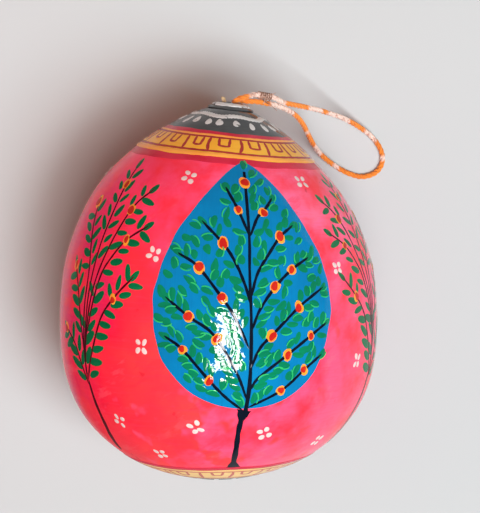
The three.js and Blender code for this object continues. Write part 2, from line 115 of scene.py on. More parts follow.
towards_camera = out_front * math.cos(CAMERA_RISE) + along_nut * math.sin(CAMERA_RISE)
image_up = towards_camera.cross(to_right)
aim = nut_origin + along_nut * AIM_HEIGHT * MM + to_right * AIM_RIGHT * MM
camera_place = aim + towards_camera * CAMERA_DISTANCE

camera = added(bpy.ops.object.camera_add, "photo_camera", location=camera_place)
camera.data.lens = LENS
camera.data.clip_start = CAMERA_NEAREST
camera.rotation_euler = Matrix((to_right, image_up, towards_camera)).transposed().to_euler()
bpy.context.scene.camera = camera
print("camera at", [round(v, 3) for v in camera.location])

# %% [markdown]
# The cord comes next. Its route is a short list of points, measured from the middle of the hole's mouth:
# out of the hole, through the binding, down to the floor, round one loop and back. A smooth curve through
# the points gives the line that the strands follow. A curve object with a round bevel would be quicker,
# but it can't show the lay of the strands.

# %% A smooth line through points
def smooth(points, steps):
    given = np.asarray(points, float)
    ends = np.vstack([2 * given[0] - given[1], given, 2 * given[-1] - given[-2]])
    t = np.linspace(0, 1, steps, endpoint=False)[:, None]
    parts = []
    for a, b, c, d in zip(ends, ends[1:], ends[2:], ends[3:]):
        bend = (2 * a - 5 * b + 4 * c - d) * t**2 + (3 * b - a - 3 * c + d) * t**3
        parts.append(b + 0.5 * ((c - a) * t + bend))
    return np.vstack([*parts, given[-1:]])


def lengths_along(line):
    return np.concatenate([[0], np.cumsum(np.linalg.norm(np.diff(line, axis=0), axis=1))])


def points_at(line, along, at):
    return np.stack([np.interp(at, along, column) for column in line.T], axis=1)


def evenly(line, step):
    along = lengths_along(line)
    return points_at(line, along, np.linspace(0, along[-1], max(2, round(along[-1] / step))))


# %% The route of the cord
TIP_HEIGHT = 149
TIP_DRIFT = 5.048
CORD_SPACING = 2.7
TIP_LEAN = math.radians(6.5)
CORD_OFFSET = 0.9
CORD_DEPTH = 14.5
DEPTH_SHARES = (1, 0.66, 0.33, 0.02)
ROUTE_STEPS = 12
CORD_STEP = 0.5
FRONT_LEG = [(2.5, 1.7, 1.2), (5.5, 2.6, 0.2), (8, 3, -1.9), (10.3, 3.1, -3.9)]
BACK_LEG = [(2.5, 1.1, -1.5), (5.3, 0.8, -2.1), (7.8, 0.5, -2.8), (9.9, 0.4, -3.7)]
LOOP = [
    (16.8, 1.7, -7.2), (20.8, -0.7, -10.9), (26.2, -2.5, -16.6), (31.2, -4.2, -23), (36.3, -6.1, -29.8),
    (40.6, -8, -35.8), (45, -10.1, -41.3), (49.4, -12.6, -46.3), (54.1, -15.8, -50.3),
    (58.5, -19.4, -52.3), (61.5, -23.2, -52.9), (63.2, -27, -52.9), (63.2, -30.8, -52.9),
    (61.3, -34.2, -52.9), (58, -36.1, -52.9), (53.8, -36.6, -52.9), (49.4, -35.3, -52.9),
    (45.1, -33.1, -52.4), (40.8, -29.9, -50.4), (37.1, -26.2, -46.6), (34.1, -21.8, -41.6),
    (31.6, -16.7, -35.6), (29.3, -11.7, -28.8), (26.5, -7.6, -22.3), (23, -4.6, -16.4),
    (19.8, -2.7, -11.4), (16.6, -1.2, -7),
]

mouth = nut_origin + along_nut * TIP_HEIGHT * MM + to_right * TIP_DRIFT * MM
tip_axis = along_nut * math.cos(TIP_LEAN) + to_right * math.sin(TIP_LEAN)
tip_right = to_right * math.cos(TIP_LEAN) - along_nut * math.sin(TIP_LEAN)


def in_the_hole(side):
    foot = tip_right * CORD_OFFSET + out_front * side * CORD_SPACING / 2
    return [tuple(foot - tip_axis * CORD_DEPTH * share) for share in DEPTH_SHARES]


route = in_the_hole(1) + FRONT_LEG + LOOP + BACK_LEG[::-1] + in_the_hole(-1)[::-1]
cord_line = evenly(smooth(route, ROUTE_STEPS), CORD_STEP) * MM + np.array(mouth)
cord_length = float(lengths_along(cord_line)[-1])
print("cord:", len(cord_line), "points,", round(cord_length * 1000), "mm")

# %% [markdown]
# Three twisted strands make the cord. Each strand is a tube that winds round the line, so a helper builds
# a tube on any line: a ring of points at every step, carried along without spinning. The strands keep a
# number for each point, how pale the dye is there, and the colour reads that number later.

# %% A tube along a line
def frames_along(line):
    ahead = np.gradient(line, axis=0)
    ahead /= np.linalg.norm(ahead, axis=1)[:, None]
    not_along_it = (0.3, 0.5, 0.8)
    side = np.cross(ahead[0], not_along_it)
    sides = []
    for direction in ahead:
        side = side - direction * (side @ direction)
        side = side / np.linalg.norm(side)
        sides.append(side)
    sides = np.array(sides)
    return sides, np.cross(ahead, sides)


def tube(name, line, radius, corners, pale=0.0):
    radius = np.broadcast_to(radius, len(line))
    side, up = frames_along(line)
    turn = np.linspace(0, 2 * math.pi, corners, endpoint=False)
    ring = side[:, None] * np.cos(turn)[None, :, None] + up[:, None] * np.sin(turn)[None, :, None]
    points = (line[:, None] + ring * radius[:, None, None]).reshape(-1, 3)
    faces = [tuple(range(corners - 1, -1, -1))]
    for i in range(len(line) - 1):
        for j in range(corners):
            k = (j + 1) % corners
            faces.append((i * corners + j, i * corners + k, (i + 1) * corners + k, (i + 1) * corners + j))
    faces.append(tuple(range((len(line) - 1) * corners, len(line) * corners)))
    mesh = bpy.data.meshes.new(name)
    mesh.from_pydata(points.tolist(), [], faces)
    dye = np.repeat(np.broadcast_to(pale, len(line)), corners)
    mesh.attributes.new("pale", "FLOAT", "POINT").data.foreach_set("value", dye)
    mesh.polygons.foreach_set("use_smooth", [True] * len(mesh.polygons))
    piece = bpy.data.objects.new(name, mesh)
    bpy.context.scene.collection.objects.link(piece)
    return piece


def joined(name, pieces):
    select_only(*pieces)
    bpy.ops.object.join()
    pieces[0].name = name
    pieces[0].data.name = name
    return pieces[0]


# %% The cord's three strands
CORD_DIAMETER = 2.3
STRAND_RADIUS = 0.6
STRAND_OFFSET = 0.55
STRANDS = 3
LAY = 6.5
PALE_STRETCHES = [
    (22, 41), (56, 66), (70, 86), (96, 103), (110, 112), (135, 138), (147, 154), (164, 166), (183, 200),
]
PALE_EDGE = 1.2

side, up = frames_along(cord_line)
distance = np.linspace(0, cord_length / MM, len(cord_line))
pale = np.zeros(len(cord_line))
for start, end in PALE_STRETCHES:
    inside = np.minimum(distance - start, end - distance) / PALE_EDGE + 0.5
    pale = np.maximum(pale, np.clip(inside, 0, 1))
strands = []
for strand in range(STRANDS):
    angle = 2 * math.pi * (distance / LAY + strand / STRANDS)
    swing = side * np.cos(angle)[:, None] + up * np.sin(angle)[:, None]
    line = cord_line + swing * STRAND_OFFSET * MM
    strands.append(tube("strand", line, STRAND_RADIUS * MM, corners=8, pale=pale))
cord = joined("hanging_cord", strands)
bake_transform(cord)
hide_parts("cord_stem_front", "cord_stem_back", "cord_leg_front", "cord_leg_back", "cord_loop")
print("cord mesh:", len(cord.data.polygons), "faces")

# %% [markdown]
# A thin brown thread is wound round the front leg of the cord just outside the hole, takes in both legs in
# the middle, and its two ends stick out. On the real cord this binding keeps the loop closed. It is one
# long tube on a helix that swells in the middle, because a single barrel would look like a bead.

# %% The binding and its ends
KNOT_START = Vector((10.3, 1.7, -3.9))
KNOT_TOWARDS = Vector((0.88, -0.19, -0.43)).normalized()
FRONT_LEG_WAY = Vector((0.16, 0.98, -0.115))
KNOT_LENGTH = 6.4
KNOT_INSET = 0.4
KNOT_SWELL = 0.15
THREAD_RADIUS = 0.27
THREAD_ASIDE = 0.15
THREAD_OUT = 0.2
WINDS = 6
POINTS_PER_WIND = 16
LEGS_APART = 1.4
TAIL_RADII = (0.22, 0.12)
TAILS = {
    "upper": [(13.4, 2.5, -3.6), (14.6, 2.8, -2.9), (16.2, 3.4, -2.6), (17.8, 3.8, -3.8)],
    "lower": [(13.6, 0.2, -3.6), (15, -0.4, -2.6), (16.6, -1.6, -2.4), (18.2, -3.2, -3.6)],
}

to_front_leg = FRONT_LEG_WAY - KNOT_TOWARDS * FRONT_LEG_WAY.dot(KNOT_TOWARDS)
to_front_leg.normalize()
knot_out = to_front_leg.cross(KNOT_TOWARDS)
turns = np.linspace(0, 1, WINDS * POINTS_PER_WIND)
both = np.exp(-(((turns - 0.5) / KNOT_SWELL) ** 2))
reach = CORD_DIAMETER / 2 + THREAD_ASIDE + both * LEGS_APART
round_turn = 2 * math.pi * WINDS * turns
winding = (
    np.array(KNOT_START)
    + np.outer(KNOT_INSET + turns * (KNOT_LENGTH - 2 * KNOT_INSET), KNOT_TOWARDS)
    + np.outer(LEGS_APART * (1 - both) + np.cos(round_turn) * reach, to_front_leg)
    + np.outer(np.sin(round_turn) * (CORD_DIAMETER / 2 + THREAD_OUT), knot_out)
)
binding = tube("cord_binding", winding * MM + np.array(mouth), THREAD_RADIUS * MM, corners=7)
claim(binding, ["cord_knot"], "hanger")
tails = []
for end, points in TAILS.items():
    line = smooth(points, steps=6) * MM + np.array(mouth)
    tail = tube("binding_tail_" + end, line, np.linspace(*TAIL_RADII, len(line)) * MM, corners=6)
    tails.append(claim(tail, ["knot_tail_" + end], "hanger"))
print("binding:", WINDS, "winds, tails:", [tail.name for tail in tails])

# %% [markdown]
# All paint lies on one surface, so that surface is written once, as a rule: a height along the nut and an
# angle round it give a point. The outline is a blunt egg, with three soft ridges, a crown that leans a
# little, and shallow lumps such as a chalk ground rubbed down by hand has. A lift raises a point off the
# surface, which is how one coat of paint lies on another.

# %% The surface of the nut
BELLY_RADIUS = 63.8
BELLY_HEIGHT = 60
CROWN = TIP_HEIGHT - BELLY_HEIGHT
BASE_POWER = 2.25
CROWN_POWER = 2.4
CROWN_TAPER = 0.735
RIDGE = 0.03
LUMPS = (0.14, 0.22, 0.3)


def latitude_at(height):
    height = np.asarray(height, float)
    low = np.clip(1 - height / BELLY_HEIGHT, 0, 1) ** (BASE_POWER / 2)
    high = np.clip((height - BELLY_HEIGHT) / CROWN, 0, 1) ** (CROWN_POWER / 2)
    return np.where(height < BELLY_HEIGHT, -np.arcsin(low), np.arcsin(high))


def meridian(latitude):
    width = np.maximum(np.cos(latitude), 0)
    reach = np.abs(np.sin(latitude))
    below = latitude < 0
    radius = BELLY_RADIUS * np.where(below, width ** (2 / BASE_POWER), width ** (2 * CROWN_TAPER))
    rise = np.where(below, -BELLY_HEIGHT * reach ** (2 / BASE_POWER), CROWN * reach ** (2 / CROWN_POWER))
    return radius, np.maximum(BELLY_HEIGHT + rise, BASE_FLAT_HEIGHT)


def ridged(angle):
    return 1 + RIDGE * np.cos(3 * angle)


def round_the_axis(radius, height, angle):
    rise = np.clip((height - BELLY_HEIGHT) / CROWN, 0, 1)
    lean = TIP_LEAN * rise**2 * (3 - 2 * rise)
    drift = TIP_LEAN * CROWN * (rise**3 - rise**4 / 2)
    across = radius * np.sin(angle)
    front = radius * np.cos(angle)
    return np.stack([drift + across * np.cos(lean), height - across * np.sin(lean), front], axis=-1)


def natural(latitude, angle):
    radius, height = meridian(latitude)
    return round_the_axis(radius * ridged(angle), height, angle)


def lumps(place):
    # three sets of waves, each some centimetres long, laid across each other
    x, y, z = np.moveaxis(place, -1, 0)
    fine = LUMPS[0] * np.sin(x / 6.1 + 1.1) * np.sin(y / 7.3 + z / 15 + 0.4)
    broad = LUMPS[1] * np.sin(z / 11 + x / 17 + 0.7) * np.sin(y / 12.7 + 1.9)
    return fine + broad + LUMPS[2] * np.sin(x / 23 + 2.2) * np.sin(y / 26 + z / 31)


# %% Points on the nut
NORMAL_STEP = 1e-4
POLE = math.radians(89.5)
FLOOR_GAP = 0.05
nut_axes = np.array([to_right, along_nut, out_front])


def in_world(place):
    return np.array(nut_origin) + place * MM @ nut_axes


def on_latitude(latitude, angle, lift):
    latitude, angle, lift = np.broadcast_arrays(latitude, np.radians(angle), lift)
    place = natural(latitude, angle)
    inner = np.clip(latitude, -POLE, POLE)
    round_step = natural(inner, angle + NORMAL_STEP) - natural(inner, angle - NORMAL_STEP)
    rise_step = natural(inner + NORMAL_STEP, angle) - natural(inner - NORMAL_STEP, angle)
    outward = np.cross(round_step, rise_step)
    outward /= np.maximum(np.linalg.norm(outward, axis=-1), 1e-12)[..., None]
    points = in_world(place + outward * (lumps(place) + lift)[..., None])
    points[..., 2] = np.maximum(points[..., 2], FLOOR_GAP * MM)
    return points


def on_nut(height, angle, lift=0.0):
    return on_latitude(latitude_at(height), angle, lift)


front_belly = on_nut(BELLY_HEIGHT, 0)
print("front of the belly:", np.round(front_belly, 4), "mouth of the hole:", np.round(mouth, 4))

# %% [markdown]
# Each coat of paint starts as a flat grid, like a sheet of paper with squares. The grid's own x and y say
# how far round and how far up the nut each corner goes, and the corners are then moved onto the surface.
# The same x and y are kept as a UV map, so that brush marks can follow the way the brush went.
# A Solidify modifier gives the sheet its thickness and closes its rim.

# %% Helpers for sheets of paint
SMOOTH_ANGLE = math.radians(50)


def flat_grid(name, columns, rows):
    return added(
        bpy.ops.mesh.primitive_grid_add, name, x_subdivisions=columns, y_subdivisions=rows, size=2)


def corners_of(piece):
    place = np.empty(len(piece.data.vertices) * 3, np.float32)
    piece.data.vertices.foreach_get("co", place)
    return place.reshape(-1, 3).T.astype(float)


def move_to(piece, points, along, across):
    mesh = piece.data
    mesh.vertices.foreach_set("co", points.astype(np.float32).ravel())
    corner = np.empty(len(mesh.loops), np.int32)
    mesh.loops.foreach_get("vertex_index", corner)
    layer = mesh.uv_layers[0] if mesh.uv_layers else mesh.uv_layers.new()
    layer.name = "brush"
    layer.data.foreach_set("uv", (np.column_stack([along, across])[corner] * MM).ravel())
    mesh.update()


def finish_sheet(piece, thickness):
    select_only(piece)
    bpy.ops.object.mode_set(mode="EDIT")
    bpy.ops.mesh.select_all(action="SELECT")
    bpy.ops.mesh.remove_doubles(threshold=1e-6)
    bpy.ops.object.mode_set(mode="OBJECT")
    wall = piece.modifiers.new("thickness", "SOLIDIFY")
    wall.thickness = thickness * MM
    wall.offset = -1
    bpy.ops.object.modifier_apply(modifier=wall.name)
    bpy.ops.object.shade_smooth_by_angle(angle=SMOOTH_ANGLE)
    return piece


# %% [markdown]
# The pink coat covers the whole nut. It is one sheet wrapped all the way round, merged along its seam,
# so no edge of a coat above it can show a gap. It stands for the body's coat in the frame. The slate disc
# of the base, which can't be seen in the picture, is a sheet of the same kind that ends low down.

# %% The pink coat and the base disc
AROUND = 200
NECK_RADIUS = 8.6
SKIN_THICKNESS = 0.8
COAT_THICKNESS = 0.3
BASE_TOP = 3
BASE_LIFT = 0.1
BASE_GIRTH = 40
neck_latitude = math.acos((NECK_RADIUS / BELLY_RADIUS) ** (0.5 / CROWN_TAPER))


def wander(angle, start, size):
    turn = np.radians(angle)
    slow = np.sin(2 * turn + start * 1.7) + 0.8 * np.sin(5 * turn + start * 3.1)
    quick = 0.5 * np.sin(11 * turn + start * 5.3) + 0.35 * np.sin(19 * turn + start * 7.9)
    return size * (slow + quick) / 2


def base_edge(angle):
    return latitude_at(BASE_TOP + wander(angle, start=4, size=0.05))


def sheet_from_base(name, rows, top_at, lift, thickness, girth):
    piece = flat_grid(name, AROUND, rows)
    x, y, _ = corners_of(piece)
    latitude = -math.pi / 2 + (y + 1) / 2 * (top_at(x * 180) + math.pi / 2)
    _, height = meridian(latitude)
    move_to(piece, on_latitude(latitude, x * 180, lift), x * girth, height)
    return finish_sheet(piece, thickness)


skin = sheet_from_base(
    "pink_coat", rows=130, top_at=lambda angle: neck_latitude, lift=0, thickness=SKIN_THICKNESS,
    girth=BELLY_RADIUS * math.pi)
claim(skin, ["body_coat"])
base = sheet_from_base(
    "base_disc", rows=16, top_at=base_edge, lift=BASE_LIFT, thickness=COAT_THICKNESS, girth=BASE_GIRTH)
claim(base, ["base_coat"])
print("pink coat:", len(skin.data.polygons), "faces, base disc:", len(base.data.polygons), "faces")

# %% [markdown]
# The zones at both ends are rings of paint, from one height to another. A brush never follows a line
# exactly, so both edges of a ring wander a little. The wander is a sum of sines with its own start for each
# edge. It looks irregular, and it closes on itself round the nut. Towards its edges the paint gets thinner.

# %% Rings of paint
COAT_LIFT = 0.14
EDGE_LIFT = 0.4
RING_DEGREE = 1.1


def thinned(lift, inside):
    return lift * (EDGE_LIFT + (1 - EDGE_LIFT) * np.clip(inside, 0, 1))


def paint_ring(name, low, high, node, unsteady, lift, rows=8):
    piece = flat_grid(name, AROUND, rows)
    x, y, _ = corners_of(piece)
    angle = x * 180
    bottom = low + wander(angle, low, unsteady)
    top = high + wander(angle, high + 1, unsteady)
    height = bottom + (top - bottom) * (y + 1) / 2
    lifts = thinned(lift, (1 - np.abs(y)) * 4)
    move_to(piece, on_nut(height, angle, lifts), angle * RING_DEGREE, height)
    return claim(finish_sheet(piece, COAT_THICKNESS), [node])


neck_height = float(meridian(np.array(neck_latitude))[1])
# each ring: its name, from and to which height, solid of the frame, wander of its edges, lift
lower_band = paint_ring("lower_yellow_band", 2.9, 8.3, "lower_band", 0.12, 0.12)
lower_line = paint_ring("lower_red_line", 8.1, 9.7, "lower_line", 0.25, 0.2)
upper_line = paint_ring("upper_red_line", 126.7, 129.2, "upper_line", 0.35, 0.12)
upper_band = paint_ring("upper_yellow_band", 128.9, 137.1, "upper_band", 0.2, 0.2)
cap_line = paint_ring("cap_red_line", 136.9, 138.4, "cap_line", 0.25, 0.26)
cap = paint_ring("slate_cap", 138.0, neck_height, "cap_coat", 0.1, 0.32, rows=14)
red_lines = (lower_line, upper_line, cap_line)
print("rings of paint:", [ring.name for ring in (lower_band, *red_lines, upper_band, cap)])

# %% [markdown]
# The blue panel has the outline of a leaf: round at its foot, with a drawn-in tip. Its half width is an
# angle that grows quickly from the foot and closes again at the tip. It was drawn freehand, so the left and
# the right edge have numbers of their own. The grid's x runs from the left edge to the right edge, so the
# sheet keeps clean rows whatever the outline does.

# %% The blue panel
LEAF_LOW = 35.6
LEAF_HIGH = 128.0
LEAF_CENTRE = 10.5
# spread of an edge in degrees, and the powers that shape its foot and its tip
LEFT_EDGE = (71.7, 0.47, 0.67)
RIGHT_EDGE = (66, 0.44, 0.57)


def leaf_edge(share, spread, heel, tip):
    return spread * share**heel * (1 - share) ** tip


def leaf_half_angle(share, side):
    return np.where(side < 0, leaf_edge(share, *LEFT_EDGE), leaf_edge(share, *RIGHT_EDGE))


panel = flat_grid("blue_panel", columns=60, rows=110)
x, y, _ = corners_of(panel)
share = (1 - np.cos((y + 1) * math.pi / 2)) / 2
height = LEAF_LOW + share * (LEAF_HIGH - LEAF_LOW)
unsteady = 1 + 0.006 * np.sin(height / 3.7 + x) + 0.005 * np.sin(height / 1.9 + 2 * x)
angle = LEAF_CENTRE + x * leaf_half_angle(share, x) * unsteady
lifts = thinned(COAT_LIFT, np.minimum(1 - np.abs(x), 1 - np.abs(y)) * 10)
move_to(panel, on_nut(height, angle, lifts), height, angle)
claim(finish_sheet(panel, COAT_THICKNESS), ["leaf_panel"])
print("blue panel:", round(LEAF_HIGH - LEAF_LOW, 1), "mm tall,", len(panel.data.polygons), "faces")

# %% [markdown]
# A brush stroke is a narrow grid laid along a line on the nut. It is thickest in the middle, as wet paint
# is, and its ends are round. To step sideways by real millimetres anywhere on the nut, the stroke needs to
# know how long one degree and one millimetre of height are on the skin at that place.

# %% Brush strokes
STROKE_THICKNESS = 0.25
STROKE_ROWS = 4
HAND_TREMOR = 0.1
BLUNT_END = 0.25
END_POINTS = 2.5


def stretch_at(height):
    latitude = latitude_at(height)
    radius, level = meridian(latitude)
    next_radius, next_level = meridian(latitude + NORMAL_STEP)
    climb = np.maximum(np.abs(next_level - level), 1e-9)
    return radius * math.pi / 180, np.hypot(next_radius - radius, next_level - level) / climb


def step_on_skin(angle, height, east, north):
    degree, slope = stretch_at(height)
    return angle + east / degree, height + north / slope


def brush_stroke(name, points, width, lift, rise=0.1, steps=5, round_ends=True):
    line = smooth(points, steps)
    piece = flat_grid(name, len(line) - 1, STROKE_ROWS)
    x, y, _ = corners_of(piece)
    share = (x + 1) / 2
    at = np.linspace(0, 1, len(line))
    angle = np.interp(share, at, line[:, 0])
    height = np.interp(share, at, line[:, 1])
    degree, slope = stretch_at(height)
    east = np.interp(share, at, np.gradient(line[:, 0])) * degree
    north = np.interp(share, at, np.gradient(line[:, 1])) * slope
    length = np.maximum(np.hypot(east, north), 1e-9)
    widths = np.atleast_1d(width)
    half = np.interp(share, np.linspace(0, 1, len(widths)), widths) / 2
    half = half * (1 + HAND_TREMOR * np.sin(share * len(line) * 1.3 + points[0][1]))
    if round_ends:
        from_end = np.clip(np.minimum(share, 1 - share) * len(line) / END_POINTS, 0, 1)
        half = half * (BLUNT_END + (1 - BLUNT_END) * np.sqrt(from_end))
    angle, height = step_on_skin(angle, height, y * half * north / length, -y * half * east / length)
    dome = lift + rise * (np.sqrt(np.clip(1.02 - y**2, 0, 1)) - 0.2)
    along = share * float(np.sum(length) / (STROKE_ROWS + 1))
    move_to(piece, on_nut(height, angle, dome), along, y * half)
    piece.data.flip_normals()
    return piece


def strokes(name, pieces, nodes=()):
    return claim(finish_sheet(joined(name, pieces), STROKE_THICKNESS), nodes)


# %% [markdown]
# The yellow bands carry a fret: a row of bars with a small U hanging between each pair, drawn freehand in
# red between two thin lines. One function draws a whole band, because the same border runs round the top
# and the bottom of the nut. A seeded draw lets each stroke stray a little, the same way in every run. Two
# lines of a warmer yellow follow the edges of the upper band.

# %% Fret borders
FRET_LINE = 1.15
FRET_CELLS = 17
FRET_START = 0.94
FRET_WANDER = 0.1
BORDER_POINTS = 72


def stray(draw, reach):
    return draw.uniform(-reach, reach)


def closed_line(name, height, width, lift, start, size):
    angle = np.linspace(-180, 180, BORDER_POINTS)
    points = np.column_stack([angle, height + wander(angle, start, size)])
    return brush_stroke(name, points, width, lift, steps=3)


def fret(name, low, high, lift, draw):
    pitch = 360 / FRET_CELLS
    lines = []
    for cell in range(FRET_CELLS):
        left = -180 + pitch * (cell + FRET_START) + stray(draw, 0.06) * pitch
        middle = left + draw.uniform(-0.7, 0.9)
        bar = [(left, high), (middle, (low + high) / 2), (left + stray(draw, 1.5), low)]
        lines.append(brush_stroke("bar", bar, (FRET_LINE, FRET_LINE * 1.2), lift))
        near = left + pitch * draw.uniform(0.28, 0.36)
        far = left + pitch * draw.uniform(0.63, 0.72)
        floor = low + (high - low) * draw.uniform(0.38, 0.54)
        hook = [
            (near, high), (near + 0.5, floor + 0.8), (near + 1.4, floor), (far - 1.4, floor - 0.1),
            (far - 0.5, floor + 0.8), (far, high),
        ]
        lines.append(brush_stroke("hook", hook, FRET_LINE * 0.95, lift))
    for height in (high, low):
        lines.append(closed_line("border", height, FRET_LINE, lift, height, FRET_WANDER))
    return strokes(name, lines)


draw = random.Random(11)
upper_fret = fret("upper_fret", low=130.9, high=136.1, lift=0.2, draw=draw)
lower_fret = fret("lower_fret", low=3.7, high=7.2, lift=0.12, draw=draw)
yellow_lines = strokes("yellow_lines", [
    closed_line("under_cap", height=136.75, width=1.3, lift=0.2, start=3, size=0.12),
    closed_line("over_red", height=129.8, width=1.9, lift=0.2, start=4, size=0.16),
])
print("frets:", len(upper_fret.data.polygons), "and", len(lower_fret.data.polygons), "faces")

# %% [markdown]
# A dab is the mark of a loaded brush pressed down once. It is modelled a single time: a disc, inset twice
# and poked, so that it swells towards its middle, with a face below that closes it. Leaves, fruit, petals
# and dots are all copies of it, each with its own mesh, stretched, turned and bent onto the nut.

# %% One dab of paint
DAB_SINK = 0.06

dab = added(bpy.ops.mesh.primitive_circle_add, "dab", vertices=12, radius=1, fill_type="NGON")
bpy.ops.object.mode_set(mode="EDIT")
bpy.ops.mesh.inset(thickness=0.2, depth=0.75)
bpy.ops.mesh.inset(thickness=0.35, depth=0.25)
bpy.ops.mesh.poke()
bpy.ops.mesh.select_all(action="DESELECT")
bpy.ops.mesh.select_mode(type="EDGE")
bpy.ops.mesh.select_non_manifold()
bpy.ops.mesh.edge_face_add()
bpy.ops.mesh.select_all(action="SELECT")
bpy.ops.mesh.normals_make_consistent(inside=False)
bpy.ops.object.mode_set(mode="OBJECT")
print("dab:", len(dab.data.polygons), "faces, height", round(max(v.co.z for v in dab.data.vertices), 2))


def press(pattern, angle, height, turn, length, width, lift, rise, taper=0.0, ragged=0.0):
    copy = pattern.copy()
    copy.data = pattern.data.copy()
    bpy.context.scene.collection.objects.link(copy)
    x, y, z = corners_of(pattern)
    bearing = np.arctan2(y, x) + angle * 5 + height
    reach = 1 + ragged * (np.sin(2 * bearing) + 0.6 * np.sin(3 * bearing))
    across = x * reach * width / 2 * (1 - taper * y)
    along = y * reach * length / 2
    way = math.radians(turn)
    east = along * math.sin(way) + across * math.cos(way)
    north = along * math.cos(way) - across * math.sin(way)
    angles, heights = step_on_skin(angle, height, east, north)
    move_to(copy, on_nut(heights, angles, lift - DAB_SINK + z * rise), along, across)
    return copy


def dabs(name, copies):
    piece = joined(name, copies)
    bpy.ops.object.shade_smooth_by_angle(angle=SMOOTH_ANGLE)
    return claim(piece)


# %% [markdown]
# Around the tip the cap carries a ring of white petals and a wavy white line. A petal is one press of the
# dab, a little wider at its outer end, and the line is one stroke whose height swings six times round the
# nut. Smaller petals are repeated round the base, which can't be seen in the picture.

# %% White petals and the wavy line
PETALS = 20
PETAL_STEP = 360 / PETALS
CAP_PETAL_HEIGHT = 141.4
BASE_PETAL_HEIGHT = 2.1
WAVE_HEIGHT = 143.9
WAVE_SWING = 0.3
WAVE_SWINGS = 6
WAVE_POINTS = 61
WAVE_WIDTHS = (2.6, 2.2, 2.9, 2.3, 2.7)
CAP_LIFT = 0.34

draw = random.Random(5)
petals = []
for petal in range(PETALS):
    angle = -180 + PETAL_STEP * (petal + 0.55) + stray(draw, 3)
    length = draw.uniform(4.6, 6)
    height = CAP_PETAL_HEIGHT + stray(draw, 0.3)
    turn = 180 + draw.uniform(-14, 8)
    width = draw.uniform(2.5, 3.5)
    petals.append(press(
        dab, angle, height, turn, length, width, CAP_LIFT, rise=0.14, taper=-0.15, ragged=0.08))
cap_petals = dabs("cap_petals", petals)
petals = []
for petal in range(PETALS):
    angle = -180 + PETAL_STEP * petal + stray(draw, 3)
    turn = stray(draw, 8)
    petals.append(press(dab, angle, BASE_PETAL_HEIGHT, turn, 4.5, 1.9, lift=0.16, rise=0.16, taper=-0.2))
base_petals = dabs("base_petals", petals)
angle = np.linspace(-180, 180, WAVE_POINTS)
wave = WAVE_HEIGHT + WAVE_SWING * np.sin(np.radians(angle) * WAVE_SWINGS)
wave = wave + wander(angle, start=2.5, size=0.15)
wave_stroke = brush_stroke("wave", np.column_stack([angle, wave]), WAVE_WIDTHS, CAP_LIFT, rise=0.16)
cap_wave = strokes("cap_wave", [wave_stroke])
print("petals:", PETALS, "on the cap and as many on the base")

# %% [markdown]
# The tree fills the panel: a trunk from the lower border, one stem, and branches that leave it to both
# sides. Each branch is four or five points, and the fruit sits at chosen shares of its length. Writing the
# tree as a short list keeps it easy to change, and everything that grows on it follows.

# %% Trunk and branches
TRUNK = [(8.6, 9.8), (8, 12.5), (8, 19), (8, 25.5), (8.7, 31), (9.6, 35)]
TRUNK_WIDTHS = (5.5, 2.2, 2.1, 1.9, 2.2, 5.8)
TREE_STEM = [(10, 34), (11, 46), (11.3, 68), (11, 87), (11.3, 101), (10.6, 124.5)]
STEM_WIDTHS = (1.7, 1.5, 1.2, 1.1, 1.1, 1.2)
BRANCHES = [
    ([(11.6, 101), (8.5, 108), (6, 112.5), (1.5, 118.5)], [0.52]),
    ([(11, 76), (9.3, 83), (6, 91.5), (1.3, 98.5), (-7, 106)], [0.74]),
    ([(10.5, 59), (7, 68), (3, 76), (-6.5, 89), (-14.5, 94)], [0.54, 0.75]),
    ([(10.3, 39), (6, 51), (-1.3, 64.5), (-9.5, 71), (-18, 78)], [0.46, 0.75]),
    ([(9, 35), (2.7, 40.5), (-2.7, 47), (-11.5, 58.5), (-18, 63.5)], [0.5, 0.75]),
    ([(11.6, 101), (15, 108), (18, 110.5), (23, 115.5)], [0.64]),
    ([(11.3, 78), (13.7, 87), (18, 94), (23.7, 101), (30.5, 105.5)], [0.75]),
    ([(11.6, 66), (14.3, 73.5), (20, 82), (27, 88.5), (35, 93)], [0.5, 0.75]),
    ([(11.3, 51.5), (14, 58.5), (18.3, 63.5), (29, 74), (40, 81)], [0.5, 0.75]),
    ([(11.2, 43), (14.3, 48), (24.3, 56), (33.7, 62.5), (41, 67)], [0.5, 0.75]),
    ([(10.6, 36), (22.3, 42), (31.3, 49.5), (39, 55)], [0.34, 0.67]),
]
BRANCH_WIDTHS = (1, 1.2, 1.1)
SKIN_LIFT = 0.06
BRANCH_LIFT = COAT_LIFT + 0.07
BRANCH_RISE = 0.015

wood = [
    brush_stroke("trunk", TRUNK, TRUNK_WIDTHS, SKIN_LIFT, rise=0.14, round_ends=False),
    brush_stroke("stem", TREE_STEM, STEM_WIDTHS, BRANCH_LIFT, BRANCH_RISE, round_ends=False),
]
for points, _ in BRANCHES:
    wood.append(brush_stroke("branch", points, BRANCH_WIDTHS, BRANCH_LIFT, BRANCH_RISE, steps=8))
tree_wood = strokes("tree_branches", wood, ["tree_wood"])
print("branches:", len(BRANCHES), "with", sum(len(shares) for _, shares in BRANCHES), "fruit")

# %% [markdown]
# Leaves stand in pairs along each branch, pointing forwards and out. A leaf is left out where it would sit
# on one that is there already, on a fruit or on another branch, as the painter keeps them apart too. Where
# the blue stays open near the wood, a seeded draw tries more places and puts in single leaves.

# %% Places for leaves
LINE_STEPS = 20
FIRST_LEAF = 0.6
LEAF_ASIDE = 68


def spaced_on_skin(points, step):
    line = smooth(points, LINE_STEPS)
    along = lengths_along(on_nut(line[:, 1], line[:, 0]) / MM)
    return points_at(line, along, np.arange(step * FIRST_LEAF, along[-1], step)), along[-1]


